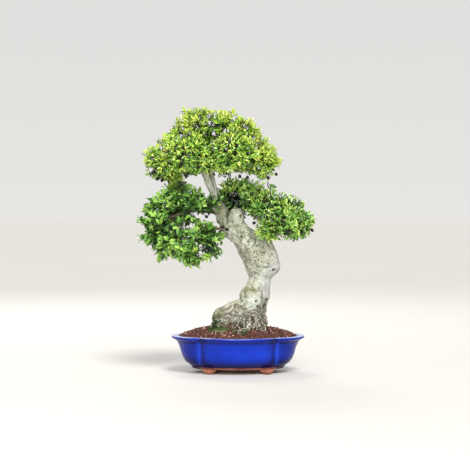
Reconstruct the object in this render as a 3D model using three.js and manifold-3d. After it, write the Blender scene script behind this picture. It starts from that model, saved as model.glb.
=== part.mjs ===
// Dwarf myrtle bonsai in a four-lobed, blue glazed pot on cloud feet.
// Millimetres, +Z up, +X to the right and +Y away from the front.
// Everything is laid out from the middle of the pot's footprint, with the table at z = 0.
// At the end the whole plant is shifted so that the origin lies under the middle of its outline.
import * as THREE from "three";
import { mergeVertices } from "three/addons/utils/BufferGeometryUtils.js";
import Module from "manifold-3d";

const wasm = await Module();
wasm.setup();

const GAP = 0.35; // clearance between pieces that touch
const OUTLINE_MIDDLE_X = -27.8; // middle of the whole plant's box, from the middle of the pot
const OUTLINE_MIDDLE_Y = 2.4;

// Pot
const POT_LENGTH = 320; // over the rim, along X
const POT_DEPTH = 224; // over the rim, along Y
const RIM_HEIGHT = 89;
const NOTCH_X = 89; // corner where a long lobe meets a short one, at the rim
const NOTCH_Y = 77;
const NOTCH_X_TAPER = 0.12; // how much the corner moves in for each mm of inset
const NOTCH_Y_TAPER = 0.72;
const SHORT_LOBE_STEPS = 7;
const LONG_LOBE_STEPS = 8;
const POT_BASE_Z = 11; // underside of the pot's floor
const POT_FLOOR_Z = 18; // upper side of the floor
const DRAIN_X = 62;
const DRAIN_RADIUS = 10;
const FOOT_X = 68;
const FOOT_Y = 47;

// Each row is [inset from the rim's outer edge, height].
const POT_OUTSIDE = [
  [47, POT_BASE_Z],
  [44.5, 17],
  [34.5, 24],
  [28.5, 33],
  [23.5, 46],
  [18.5, 64],
  [12, 76],
  [5, 81.5],
  [0.8, 83],
];
const POT_LIP = [
  [0, 85.5],
  [1.4, RIM_HEIGHT],
  [12, RIM_HEIGHT],
  [14, 87.6],
];
const POT_INSIDE = [
  [19, 79],
  [28, 56],
  [34, 38],
  [52, POT_FLOOR_Z],
];

// Drainage screens over the two holes in the floor
const SCREEN_SIDE = 30;
const SCREEN_THICKNESS = 1.2;
const SCREEN_HOLES = 3; // a side
const SCREEN_HOLE = 6.4;

// Soil, heaped towards the trunk
const SOIL_EDGE_Z = 86;
const SOIL_MOUND = 23;
const MOUND_POWER = 4.5;
const GRANULE_HEIGHT = 1.5;
const SOIL_RINGS = [0.93, 0.83, 0.68, 0.5, 0.25];

// Trunk: each row is [height, left edge, right edge, middle in depth, half depth].
const TRUNK_SIDES = 16;
const TRUNK_LEVELS = [
  [64, -66, 64, 2, 52],
  [94, -70, 70, 2, 57],
  [108, -64, 69, 1, 52],
  [124, -50, 67, 0, 46],
  [140, -28, 66, -1, 41],
  [155, 0, 66, -1, 36],
  [166, 3, 70, -1, 34],
  [179, 3, 75.5, -2, 33],
  [190, 5.5, 76, -3, 32],
  [203, 12.5, 77, -3, 29],
  [215, 23, 78.5, -2, 27],
  [225, 29, 80, 0, 26],
  [234, 26, 90, 1, 28],
  [243, 20, 98, 2, 31],
  [262, 13, 100, 3, 34],
  [281, 4.5, 96.5, 4, 36],
  [302, -7, 87, 4, 36],
  [318, -12, 80, 3, 34],
  [329, -15, 69, 2, 31],
  [337, -19, 47, 1, 27],
  [347, -24, 29, 0, 23],
  [356, -30, 17, 0, 17],
];

// Swellings on the trunk: each row is [x, y, z, reach, height].
const BURLS = [
  [22, -34, 192, 17, 9],
  [34, -36, 171, 15, 8],
  [58, -30, 322, 17, 9],
  [92, -14, 255, 14, 5],
  [20, -34, 285, 16, 4],
  [40, 36, 288, 24, 11],
  [60, 32, 205, 17, 9],
  [-2, 30, 318, 16, 8],
  [18, 34, 152, 18, 9],
  [72, 14, 150, 14, 7],
];

// Holes left by old branches: each row is [x, z, radius, depth in Y of the bottom].
const KNOT_HOLES = [
  [84.7, 246, 3.4, -11],
  [42.3, 174, 3, -27],
  [6.5, 376, 2.6, -8],
];

// Limbs: rows of [x, y, z, radius] along each one. The first ones are the trunk's two heads and its roots.
const LIMBS = [
  { sides: 9, path: [[6, -1, 318, 18], [-12, -1, 338, 20], [-28, -2, 356, 17], [-38, -3, 374, 15.5], [-40, -3, 390, 15], [-45, -3, 402, 11.5], [-51, -3, 416, 9], [-56, -2, 440, 8.5]] },
  { sides: 9, path: [[6, 1, 336, 20], [-2, 1, 354, 19], [-5, 0, 372, 18.5], [-4, 0, 385, 16], [-4, 1, 393, 10]] },
  { sides: 7, path: [[30, -6, 158, 24], [0, -12, 146, 24], [-26, -15, 135, 22.5], [-46, -17, 128, 18.5], [-58, -19, 114, 14.5], [-74, -22, 95, 8]] },
  { sides: 6, path: [[35, -14, 142, 24], [24, -36, 124, 20], [10, -54, 106, 15], [0, -68, 90, 9]] },
  { sides: 6, path: [[44, -12, 136, 21], [50, -34, 118, 15], [56, -48, 102, 12], [62, -60, 88, 8]] },
  { sides: 6, path: [[44, 8, 142, 20], [50, 22, 120, 15], [55, 36, 102, 11], [60, 46, 88, 7]] },
  { sides: 6, path: [[30, 16, 142, 24], [26, 40, 120, 19], [14, 58, 104, 13], [6, 70, 88, 8]] },
  { sides: 6, path: [[2, 14, 138, 22], [-32, 32, 119, 17], [-54, 44, 103, 12], [-68, 54, 88, 7]] },
  // Crown: the leader forks into two stems
  { sides: 7, path: [[-54, -2, 432, 8.5], [-68, -4, 460, 7.8], [-82, -6, 488, 6.6], [-100, -6, 520, 5.6], [-114, -5, 552, 4.2]] },
  { sides: 6, path: [[-55, -1, 430, 7.5], [-60, 2, 462, 5.6], [-59, 6, 494, 5.2], [-66, 4, 532, 4.6], [-74, 2, 574, 3.6]] },
  { sides: 5, path: [[-80, -6, 484, 6], [-118, -6, 499, 4.8], [-152, -5, 500, 3.6]] },
  { sides: 5, path: [[-59, 6, 492, 5], [-32, 4, 526, 4.4], [-4, 0, 550, 3.3]] },
  { sides: 5, path: [[-59, 5, 478, 5], [-20, 2, 492, 4.2], [40, 0, 500, 3.2]] },
  { sides: 5, path: [[-82, -6, 486, 5.6], [-96, -34, 500, 4.2], [-106, -62, 510, 3.2]] },
  { sides: 5, path: [[-59, 6, 494, 4.6], [-42, -26, 504, 4], [-26, -58, 512, 3.2]] },
  { sides: 5, path: [[-86, -6, 494, 5.4], [-98, 30, 506, 4.2], [-108, 60, 512, 3.2]] },
  { sides: 5, path: [[-60, 5, 500, 4.6], [-42, 32, 508, 4], [-24, 60, 514, 3.2]] },
  // Left side: a high branch from the leader's foot and a low one from the trunk's shoulder
  { sides: 7, path: [[-38, -2, 384, 10], [-62, -6, 394, 7.6], [-92, -10, 401, 6.2], [-118, -10, 408, 4.6]] },
  { sides: 5, path: [[-90, -10, 400, 5.4], [-132, -14, 384, 4.6], [-172, -15, 368, 3.6]] },
  { sides: 5, path: [[-66, -6, 394, 5.4], [-100, 22, 390, 4.4], [-128, 42, 384, 3.4]] },
  { sides: 7, path: [[-18, -5, 350, 11], [-38, -10, 347, 6.4], [-64, -18, 342, 5.4], [-100, -24, 337, 4.8], [-138, -28, 324, 3.8]] },
  { sides: 5, path: [[-58, -16, 343, 5.4], [-66, -25, 333, 4], [-70, -31, 322, 3.2]] },
  { sides: 5, path: [[-96, -23, 337, 5], [-106, -31, 314, 3.8], [-109, -34, 292, 3]] },
  // Right side and back, from the trunk's right head
  { sides: 7, path: [[-2, 2, 382, 11], [12, 4, 391, 7.6], [32, 4, 392, 6.4], [56, 2, 394, 5.4], [82, 1, 397, 4.2]] },
  { sides: 5, path: [[46, 3, 393, 5.2], [76, -4, 378, 4.6], [128, -8, 361, 3.4]] },
  { sides: 5, path: [[30, 4, 391, 5], [48, -9, 373, 4], [74, -21, 354, 3.2]] },
  { sides: 5, path: [[38, 3, 392, 5], [62, 25, 386, 4.2], [84, 44, 380, 3.2]] },
  { sides: 6, path: [[-5, 4, 384, 10], [-3, 16, 401, 6.2], [0, 26, 420, 4.6]] },
  { sides: 6, path: [[-8, 10, 366, 12], [-10, 38, 381, 7], [-10, 62, 392, 4.8]] },
];

// Foliage pads: [x, y, z] of the middle and [x, y, z] radii out to the leaf tips.
const PADS = [
  { name: "crown_top", at: [-76, 0, 592], radii: [76, 66, 46] },
  { name: "crown_shoulder_left", at: [-130, -4, 546], radii: [55, 60, 41] },
  { name: "crown_shoulder_right", at: [6, -2, 558], radii: [50, 60, 52] },
  { name: "crown_end_left", at: [-178, -5, 507], radii: [48, 64, 47] },
  { name: "crown_end_right", at: [54, 0, 510], radii: [44, 62, 47] },
  { name: "crown_front_left", at: [-112, -66, 524], radii: [66, 58, 55] },
  { name: "crown_front_right", at: [-14, -64, 524], radii: [65, 58, 53] },
  { name: "crown_back_left", at: [-112, 66, 524], radii: [66, 58, 55] },
  { name: "crown_back_right", at: [-14, 66, 524], radii: [65, 58, 53] },
  { name: "left_upper", at: [-130, -10, 408], radii: [76, 55, 42] },
  { name: "left_outer", at: [-194, -15, 358], radii: [47, 55, 52] },
  { name: "left_middle", at: [-126, -26, 352], radii: [46, 46, 34] },
  { name: "left_lower", at: [-156, -30, 311], radii: [52, 50, 40] },
  { name: "left_hanging", at: [-108, -36, 283], radii: [34, 35, 32] },
  { name: "left_inner", at: [-72, -33, 317], radii: [37, 37, 36] },
  { name: "left_back", at: [-142, 54, 374], radii: [60, 45, 44] },
  { name: "right_middle", at: [54, -6, 403], radii: [38, 44, 34] },
  { name: "right_upper", at: [104, 0, 399], radii: [50, 50, 38] },
  { name: "right_outer", at: [143, -8, 358], radii: [46, 52, 48] },
  { name: "right_inner", at: [84, -24, 351], radii: [40, 38, 36] },
  { name: "right_back", at: [98, 54, 374], radii: [56, 43, 42] },
  { name: "middle_right", at: [2, 26, 437], radii: [52, 48, 36] },
  { name: "middle_back", at: [-14, 76, 402], radii: [56, 47, 40] },
];

// Leaves and berries
const LEAF_COVER = 17; // depth of the leafy layer over a pad's leafless middle
const PAD_BLEND = 12; // how softly neighbouring pads run together
const CORE_LUMP = 0.35; // share of the cover by which the middle is uneven
const LEAF_LENGTH = 32;
const LEAF_WIDTH = 0.54; // share of the length
const LEAF_KEEL = 2.1;
const LEAF_SINK = 1.5;
const PAIR_OFFSET = 0.8; // from the shoot to the root of each leaf of a pair
const LEAF_SPACING = 25.5; // between shoots
const LEAF_SPREAD = 0.92; // lean of each leaf of a pair away from its shoot, in radians
const LEAF_TRIES = 10;
const LEAF_CLEAR = 3; // from a limb's bark
const LEAF_OVERHANG = 4; // of a leaf's tip past the foliage's outer surface
const BERRY_RADIUS = 3.9;
const STALK_RADIUS = 1.1;

// Berries, each at [x, y, z], hang from the pad that is nearest.
const BERRIES = [
  [-204, -22, 478], [-192, -30, 464], [-181, -34, 460], [-123, -98, 469], [-134, -84, 450],
  [91, -26, 475], [84, -8, 487], [72, -34, 466], [4, -88, 468], [22, -78, 466],
  [-75, -38, 374], [-36, -50, 348], [39, -30, 359], [60, -40, 411], [32, -36, 427],
  [178, -12, 341], [-160, -60, 349], [118, -50, 338], [-40, 102, 470], [-128, 104, 472],
  [60, 48, 468], [-120, 92, 352], [84, 92, 350], [-30, 110, 384],
];

// A repeatable random source
function seeded(seed) {
  let state = seed >>> 0;
  return () => {
    state = (state + 0x6d2b79f5) >>> 0;
    let t = state;
    t = Math.imul(t ^ (t >>> 15), t | 1);
    t ^= t + Math.imul(t ^ (t >>> 7), t | 61);
    return ((t ^ (t >>> 14)) >>> 0) / 4294967296;
  };
}

function solidOf(geometry) {
  const bare = geometry.clone();
  bare.deleteAttribute("normal");
  bare.deleteAttribute("uv");
  const merged = mergeVertices(bare, 1e-4);
  return new wasm.Manifold(
    new wasm.Mesh({
      numProp: 3,
      vertProperties: new Float32Array(merged.attributes.position.array),
      triVerts: new Uint32Array(merged.index.array),
    }),
  );
}

function geometryOf(solid) {
  const mesh = solid.getMesh();
  const geometry = new THREE.BufferGeometry();
  geometry.setAttribute("position", new THREE.BufferAttribute(mesh.vertProperties.slice(), 3));
  geometry.setIndex(new THREE.BufferAttribute(mesh.triVerts.slice(), 1));
  geometry.computeVertexNormals();
  return geometry;
}

// A solid through rings of points, all with the same count and turning the same way, closed by a fan at each end.
function loft(rings) {
  const count = rings[0].length;
  const positions = rings.flat().flatMap((p) => [p.x, p.y, p.z]);
  const index = [];
  for (let i = 0; i < rings.length - 1; i++) {
    for (let k = 0; k < count; k++) {
      const a = i * count + k;
      const b = i * count + ((k + 1) % count);
      index.push(a, b, b + count, a, b + count, a + count);
    }
  }
  for (const [ring, first] of [[rings[0], true], [rings.at(-1), false]]) {
    const centre = ring.reduce((sum, p) => sum.add(p), new THREE.Vector3()).divideScalar(count);
    const hub = positions.length / 3;
    positions.push(centre.x, centre.y, centre.z);
    const start = first ? 0 : (rings.length - 1) * count;
    for (let k = 0; k < count; k++) {
      const a = start + k;
      const b = start + ((k + 1) % count);
      index.push(hub, ...(first ? [b, a] : [a, b]));
    }
  }
  const geometry = new THREE.BufferGeometry();
  geometry.setAttribute("position", new THREE.Float32BufferAttribute(positions, 3));
  geometry.setIndex(index);
  return solidOf(geometry);
}

function union(solids) {
  return wasm.Manifold.union(solids);
}

function largestBody(solid) {
  return solid.decompose().reduce((best, body) => (body.volume() > best.volume() ? body : best));
}

// Points along the arc that bulges by rise over a chord of 2 * half, from -half towards +half, without its last point
function lobe(half, rise, steps) {
  const radius = (half * half + rise * rise) / (2 * rise);
  const reach = Math.asin(Math.min(1, half / radius));
  return Array.from({ length: steps }, (_, i) => {
    const angle = reach * ((2 * i) / steps - 1);
    return [radius * Math.sin(angle), radius * Math.cos(angle) - radius + rise];
  });
}

// The pot's four-lobed plan at one inset from the rim's outer edge
function potPlan(inset, z) {
  const halfLength = POT_LENGTH / 2 - inset;
  const halfDepth = POT_DEPTH / 2 - inset;
  const notchX = NOTCH_X - NOTCH_X_TAPER * inset;
  const notchY = NOTCH_Y - NOTCH_Y_TAPER * inset;
  const short = lobe(notchY, halfLength - notchX, SHORT_LOBE_STEPS);
  const long = lobe(notchX, halfDepth - notchY, LONG_LOBE_STEPS);
  return [
    ...short.map(([along, out]) => new THREE.Vector3(notchX + out, along, z)),
    ...long.map(([along, out]) => new THREE.Vector3(-along, notchY + out, z)),
    ...short.map(([along, out]) => new THREE.Vector3(-notchX - out, -along, z)),
    ...long.map(([along, out]) => new THREE.Vector3(along, -notchY - out, z)),
  ];
}

// A cloud foot: a flat-bottomed middle lobe between two smaller, higher ones
function potFoot(x, y) {
  const turned = (rows, px, sides) =>
    solidOf(
      new THREE.LatheGeometry(rows.map(([r, z]) => new THREE.Vector2(r, z)), sides)
        .rotateX(Math.PI / 2)
        .translate(x + px, y, 0),
    );
  const middle = [[0, 0], [8, 0], [11, 3.5], [11.5, 7.5], [9, 12.5], [0, 12.5]];
  const wing = [[0, 4.5], [5, 5.4], [7.5, 8.5], [6.5, 12.5], [0, 12.5]];
  return union([turned(middle, 0, 9), turned(wing, -11.5, 7), turned(wing, 11.5, 7)]);
}

function makePot() {
  const rows = [...POT_OUTSIDE, ...POT_LIP, ...POT_INSIDE];
  const shell = loft(rows.map(([inset, z]) => potPlan(inset, z)));
  const feet = [-1, 1].flatMap((sx) => [-1, 1].map((sy) => potFoot(sx * FOOT_X, sy * FOOT_Y)));
  const drains = [-1, 1].map((side) =>
    solidOf(
      new THREE.CylinderGeometry(DRAIN_RADIUS, DRAIN_RADIUS, 20, 10)
        .rotateX(Math.PI / 2)
        .translate(side * DRAIN_X, 0, POT_FLOOR_Z),
    ),
  );
  return drains.reduce((pot, drain) => pot.subtract(drain), union([shell, ...feet]));
}

function box(sizeX, sizeY, sizeZ, x, y, z) {
  return solidOf(new THREE.BoxGeometry(sizeX, sizeY, sizeZ).translate(x, y, z));
}

function makeScreen(side) {
  const z = POT_FLOOR_Z + GAP + SCREEN_THICKNESS / 2;
  let screen = box(SCREEN_SIDE, SCREEN_SIDE, SCREEN_THICKNESS, side * DRAIN_X, 0, z);
  const pitch = SCREEN_SIDE / SCREEN_HOLES;
  for (let i = 0; i < SCREEN_HOLES; i++) {
    for (let k = 0; k < SCREEN_HOLES; k++) {
      const x = side * DRAIN_X + (i - (SCREEN_HOLES - 1) / 2) * pitch;
      const y = (k - (SCREEN_HOLES - 1) / 2) * pitch;
      screen = screen.subtract(box(SCREEN_HOLE, SCREEN_HOLE, 4, x, y, z));
    }
  }
  return screen;
}

function soilHeight(share) {
  return SOIL_EDGE_Z + SOIL_MOUND * (1 - share ** MOUND_POWER);
}

function makeSoil(trunkClearance) {
  const random = seeded(11);
  const below = [
    [53.4, POT_FLOOR_Z + GAP],
    [35.8, 40],
    [21, 79],
    [16.8, SOIL_EDGE_Z - 0.8],
  ];
  const edge = potPlan(17.4, 0);
  const top = SOIL_RINGS.map((share) =>
    edge.map((p) => {
      const wander = 1 + (random() - 0.5) * 0.05;
      const lift = (random() - 0.35) * 2 * GRANULE_HEIGHT;
      return new THREE.Vector3(p.x * share * wander, p.y * share * wander, soilHeight(share) + lift);
    }),
  );
  const heap = loft([...below.map(([inset, z]) => potPlan(inset, z)), ...top]);
  const recesses = [-1, 1].map((side) =>
    box(SCREEN_SIDE + 1, SCREEN_SIDE + 1, 4, side * DRAIN_X, 0, POT_FLOOR_Z + SCREEN_THICKNESS - 1.3),
  );
  return largestBody(recesses.reduce((soil, recess) => soil.subtract(recess), heap).subtract(trunkClearance));
}

// The trunk's body: level rings whose left and right edges are given, with swellings pushed out of them
function trunkBody(grow) {
  const rings = TRUNK_LEVELS.map(([z, left, right, middleY, halfDepth], level) =>
    Array.from({ length: TRUNK_SIDES }, (_, k) => {
      const angle = (2 * Math.PI * k) / TRUNK_SIDES;
      const sine = Math.sin(angle);
      const flute = 1 + 0.07 * sine * sine * Math.sin(3 * angle + level * 0.55);
      const middleX = (left + right) / 2;
      const out = new THREE.Vector3(
        ((right - left) / 2 + grow) * Math.cos(angle) * flute,
        (halfDepth + grow) * sine * flute,
        0,
      );
      const point = new THREE.Vector3(middleX + out.x, middleY + out.y, z);
      for (const [x, y, bz, reach, height] of BURLS) {
        const distance = point.distanceTo(new THREE.Vector3(x, y, bz));
        point.addScaledVector(out.clone().normalize(), height * Math.exp(-((distance / reach) ** 2)));
      }
      return point;
    }),
  );
  return loft(rings);
}

// A tapered limb along a smooth curve through rows of [x, y, z, radius]
function limbSolid({ sides, path }, grow) {
  const curve = new THREE.CatmullRomCurve3(path.map(([x, y, z]) => new THREE.Vector3(x, y, z)), false, "centripetal");
  const steps = sides > 6 ? Math.round(1.2 * (path.length - 1)) : path.length - 1;
  const frames = curve.computeFrenetFrames(steps);
  const rings = Array.from({ length: steps + 1 }, (_, i) => {
    const along = curve.getUtoTmapping(i / steps) * (path.length - 1);
    const row = Math.min(Math.floor(along), path.length - 2);
    const radius = THREE.MathUtils.lerp(path[row][3], path[row + 1][3], along - row) + grow;
    const centre = curve.getPointAt(i / steps);
    return Array.from({ length: sides }, (_, k) => {
      const angle = (2 * Math.PI * k) / sides;
      return centre
        .clone()
        .addScaledVector(frames.normals[i], radius * Math.cos(angle))
        .addScaledVector(frames.binormals[i], radius * Math.sin(angle));
    });
  });
  return loft(rings);
}

function makeTrunk(grow) {
  const wood = union([trunkBody(grow), ...LIMBS.map((limb) => limbSolid(limb, grow))]);
  if (grow > 0) {
    return wood;
  }
  const holes = KNOT_HOLES.map(([x, z, radius, bottomY]) => {
    const length = 60;
    return solidOf(new THREE.CylinderGeometry(radius * 0.6, radius, length, 6).translate(x, bottomY - length / 2, z));
  });
  const rootBallBottom = box(400, 400, 60, 0, 0, 42);
  return largestBody([...holes, rootBallBottom].reduce((solid, cut) => solid.subtract(cut), wood));
}

const meanRadius = (pad) => (pad.radii[0] + pad.radii[1] + pad.radii[2]) / 3;

// Depth of a point below the foliage's outer surface, the pads running softly together
function canopyDepth(point) {
  const sum = PADS.reduce((total, pad) => {
    const share = Math.hypot(...point.toArray().map((v, k) => (v - pad.at[k]) / pad.radii[k]));
    return total + Math.exp(((1 - share) * meanRadius(pad)) / PAD_BLEND);
  }, 0);
  return PAD_BLEND * Math.log(sum);
}

// Each pair of pads is parted by a plane across the line between their middles, placed by their mean radii.
function partings(pad) {
  const middle = new THREE.Vector3(...pad.at);
  return PADS.filter((other) => other !== pad).map((other) => {
    const normal = new THREE.Vector3(...other.at).sub(middle);
    const share = meanRadius(pad) / (meanRadius(pad) + meanRadius(other));
    const limit = normal.length() * share - GAP;
    return { normal: normal.normalize(), limit };
  });
}

const inside = (point, middle, planes) =>
  planes.every(({ normal, limit }) => point.clone().sub(middle).dot(normal) <= limit);

// The leafless middle of a pad: it fills the foliage up to the leafy layer or to a parting plane.
function padCore(pad, planes, random) {
  const sphere = new THREE.IcosahedronGeometry(1, 1).deleteAttribute("normal").deleteAttribute("uv");
  const geometry = mergeVertices(sphere, 1e-4);
  const middle = new THREE.Vector3(...pad.at);
  const position = geometry.attributes.position;
  for (let i = 0; i < position.count; i++) {
    const ray = new THREE.Vector3().fromBufferAttribute(position, i).multiply(new THREE.Vector3(...pad.radii));
    const cover = LEAF_COVER * (1 + CORE_LUMP * (2 * random() - 1));
    let share = 0.3;
    while (share < 1.3 && canopyDepth(middle.clone().addScaledVector(ray, share)) > cover) {
      share += 0.02;
    }
    for (const { normal, limit } of planes) {
      const reach = ray.dot(normal);
      if (reach * share > limit - 0.3) {
        share = (limit - 0.3) / reach;
      }
    }
    position.setXYZ(i, ...middle.clone().addScaledVector(ray, share).toArray());
  }
  return geometry;
}

// The corners of a blade, creased along its midrib: root, left, right and tip
function leafCorners(root, direction, faceUp, length) {
  const side = direction.clone().cross(faceUp).normalize();
  const up = side.clone().cross(direction);
  const waist = root.clone().addScaledVector(direction, 0.48 * length).addScaledVector(up, LEAF_KEEL);
  const half = (LEAF_WIDTH * length) / 2;
  return [
    root,
    waist.clone().addScaledVector(side, half),
    waist.clone().addScaledVector(side, -half),
    root.clone().addScaledVector(direction, length),
  ];
}

function leafSolid(corners) {
  const geometry = new THREE.BufferGeometry();
  geometry.setAttribute("position", new THREE.Float32BufferAttribute(corners.flatMap((p) => p.toArray()), 3));
  geometry.setIndex([0, 1, 2, 2, 1, 3, 0, 3, 1, 0, 2, 3]);
  return solidOf(geometry);
}

const LIMB_SEGMENTS = LIMBS.flatMap(({ path }) =>
  path.slice(1).map((end, i) => {
    const [from, to] = [path[i], end].map(([x, y, z]) => new THREE.Vector3(x, y, z));
    return { line: new THREE.Line3(from, to), radius: Math.max(path[i][3], end[3]) };
  }),
);

function clearOfLimbs(corners) {
  const [root, left, right, tip] = corners;
  const points = [left, right, tip, root.clone().lerp(tip, 0.75), root.clone().lerp(tip, 0.5)];
  return LIMB_SEGMENTS.every(({ line, radius }) =>
    points.every((p) => line.closestPointToPoint(p, true, new THREE.Vector3()).distanceTo(p) > radius + LEAF_CLEAR),
  );
}

// Opposite pairs of leaves at shoots spread over the open side of a pad
function padLeaves(pad, core, planes, random) {
  const middle = new THREE.Vector3(...pad.at);
  const position = core.attributes.position;
  const leaves = [];
  const sites = [];
  for (let f = 0; f < core.index.count; f += 3) {
    const [a, b, c] = [0, 1, 2].map((k) => new THREE.Vector3().fromBufferAttribute(position, core.index.getX(f + k)));
    const outward = b.clone().sub(a).cross(c.clone().sub(a)).normalize();
    const centre = a.clone().add(b).add(c).divideScalar(3);
    for (const corner of [centre, a, b, c]) {
      const spot = centre.clone().lerp(corner, 0.5);
      if (canopyDepth(spot.clone().addScaledVector(outward, LEAF_COVER)) < 0.8 * LEAF_COVER) {
        sites.push({ spot, outward, room: 1000 });
      }
    }
  }
  while (sites.length) {
    // the site farthest from every shoot so far
    const { spot, outward, room } = sites.sort((one, two) => one.room - two.room).pop();
    if (room < LEAF_SPACING) {
      break;
    }
    for (const site of sites) {
      site.room = Math.min(site.room, site.spot.distanceTo(spot));
    }
    const growth = outward.clone().add(new THREE.Vector3(0, 0, 0.3)).normalize();
    const across = new THREE.Vector3(1, 0.3, 0.2).cross(outward).normalize();
    const firstTurn = 2 * Math.PI * random();
    for (const half of [0, Math.PI]) {
      for (let attempt = 0; attempt < LEAF_TRIES; attempt++) {
        const turn = firstTurn + half + (attempt ? (random() - 0.5) * 2.4 : 0);
        const lean = across.clone().applyAxisAngle(outward, turn);
        const spread = LEAF_SPREAD * (0.8 + 0.4 * random());
        const direction = growth.clone().multiplyScalar(Math.cos(spread)).addScaledVector(lean, Math.sin(spread));
        const root = spot.clone().addScaledVector(outward, -LEAF_SINK).addScaledVector(lean, PAIR_OFFSET);
        const length = LEAF_LENGTH * (0.8 + 0.4 * random());
        const corners = leafCorners(root, direction.normalize(), outward, length);
        const short = canopyDepth(corners[3]) > -LEAF_OVERHANG;
        if (short && corners.every((p) => inside(p, middle, planes)) && clearOfLimbs(corners)) {
          leaves.push(leafSolid(corners));
          break;
        }
      }
    }
  }
  return leaves;
}

// A berry and its stalk, which runs from the berry's middle to just inside the pad's leafless middle
function berrySolid(at, pad) {
  const from = new THREE.Vector3(...at);
  const towards = new THREE.Vector3(...pad.at).sub(from);
  const direction = towards.clone().normalize();
  let length = 4;
  while (length < towards.length() - 4 && canopyDepth(from.clone().addScaledVector(direction, length)) < 1.35 * LEAF_COVER) {
    length += 1;
  }
  const stalk = new THREE.CylinderGeometry(STALK_RADIUS, STALK_RADIUS * 0.7, length, 3).translate(0, length / 2, 0);
  stalk.applyQuaternion(new THREE.Quaternion().setFromUnitVectors(new THREE.Vector3(0, 1, 0), direction));
  const berry = new THREE.IcosahedronGeometry(BERRY_RADIUS, 0).translate(...at);
  return solidOf(berry).add(solidOf(stalk.translate(...at)));
}

function padOfBerry(at) {
  const point = new THREE.Vector3(...at);
  const reach = (pad) => Math.hypot(...pad.at.map((v, k) => (at[k] - v) / pad.radii[k]));
  const around = PADS.filter((pad) => inside(point, new THREE.Vector3(...pad.at), partings(pad)));
  return (around.length ? around : PADS).reduce((best, pad) => (reach(pad) < reach(best) ? pad : best));
}

function makePad(pad, seed, clearance) {
  const random = seeded(seed);
  const planes = partings(pad);
  const core = padCore(pad, planes, random);
  const leaves = padLeaves(pad, core, planes, random);
  const berries = BERRIES.filter((at) => padOfBerry(at) === pad).map((at) => berrySolid(at, pad));
  return largestBody(union([solidOf(core), ...leaves, ...berries]).subtract(clearance));
}

const MATERIALS = {
  glaze: new THREE.MeshStandardMaterial({ color: 0x2233c4, roughness: 0.2 }),
  soil: new THREE.MeshStandardMaterial({ color: 0x6e3f30, roughness: 0.95 }),
  bark: new THREE.MeshStandardMaterial({ color: 0xc3bfae, roughness: 0.85 }),
  leaf: new THREE.MeshStandardMaterial({ color: 0x5e9a2c, roughness: 0.45 }),
  screen: new THREE.MeshStandardMaterial({ color: 0x2b2b2b, roughness: 0.6 }),
};

const plant = new THREE.Group();
function place(name, solid, material) {
  const mesh = new THREE.Mesh(geometryOf(solid), MATERIALS[material]);
  mesh.name = name;
  plant.add(mesh);
}

const trunk = makeTrunk(0);
const trunkClearance = makeTrunk(GAP);
place("pot", makePot(), "glaze");
place("drain_screen_left", makeScreen(-1), "screen");
place("drain_screen_right", makeScreen(1), "screen");
place("soil", makeSoil(trunkClearance), "soil");
place("trunk", trunk, "bark");
PADS.forEach((pad, i) => place(`foliage_${pad.name}`, makePad(pad, 100 + i, trunkClearance), "leaf"));

plant.position.set(-OUTLINE_MIDDLE_X, -OUTLINE_MIDDLE_Y, 0);

export default plant;
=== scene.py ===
"""Looks for the dwarf myrtle bonsai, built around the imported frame.

Lengths are millimetres from the middle of the pot's footprint, with z = 0 at its feet, until a mesh is
made: POT_MIDDLE then takes them to the frame, in metres. The photograph shows the side that faces -Y.
"""

import math
from types import SimpleNamespace

import bpy
import numpy as np
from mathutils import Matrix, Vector, noise
from mathutils.bvhtree import BVHTree


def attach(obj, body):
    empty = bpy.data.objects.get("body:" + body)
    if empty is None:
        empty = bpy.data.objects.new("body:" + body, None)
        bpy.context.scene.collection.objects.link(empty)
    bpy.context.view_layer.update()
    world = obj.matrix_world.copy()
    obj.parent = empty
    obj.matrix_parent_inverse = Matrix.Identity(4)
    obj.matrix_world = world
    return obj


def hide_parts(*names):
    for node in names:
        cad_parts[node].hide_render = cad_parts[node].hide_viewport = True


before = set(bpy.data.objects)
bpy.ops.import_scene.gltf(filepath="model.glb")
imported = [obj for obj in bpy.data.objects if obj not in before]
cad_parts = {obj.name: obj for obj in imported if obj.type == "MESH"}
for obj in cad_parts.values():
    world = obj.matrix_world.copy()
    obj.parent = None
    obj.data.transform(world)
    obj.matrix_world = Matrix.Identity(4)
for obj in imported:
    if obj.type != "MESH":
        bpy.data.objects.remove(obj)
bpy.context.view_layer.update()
POT_MIDDLE = np.array([27.8, -2.4, 0.0])
SEED, ROOT_SEED = 20, 23
rng = np.random.default_rng(SEED)

# Camera: its place, its tilt below the level in degrees, the photograph's width and the focal length in
# pixels, and the sensor's width in millimetres
CAMERA = np.array([-7.2, -3000.0, 380.0])
CAMERA_TILT, PHOTO_WIDTH, FOCAL_PIXELS, SENSOR = 0.96, 470, 1247, 36

# Measures of the pot
POT_LENGTH, POT_DEPTH = 320.0, 224.0
# The corners between the lobes: their place at the rim, and how far they move in per millimetre of inset.
NOTCH_X, NOTCH_Y, NOTCH_X_TAPER, NOTCH_Y_TAPER = 89.0, 77.0, 0.12, 0.72
SHORT_LOBE_STEPS, LONG_LOBE_STEPS = 22, 30
DRAIN_X, DRAIN_RADIUS = 62.0, 10.0
FOOT_X, FOOT_Y, FOOT_SIDE_X = 68.0, 47.0, 10.2
GLAZE_THICKNESS = 0.9
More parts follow.
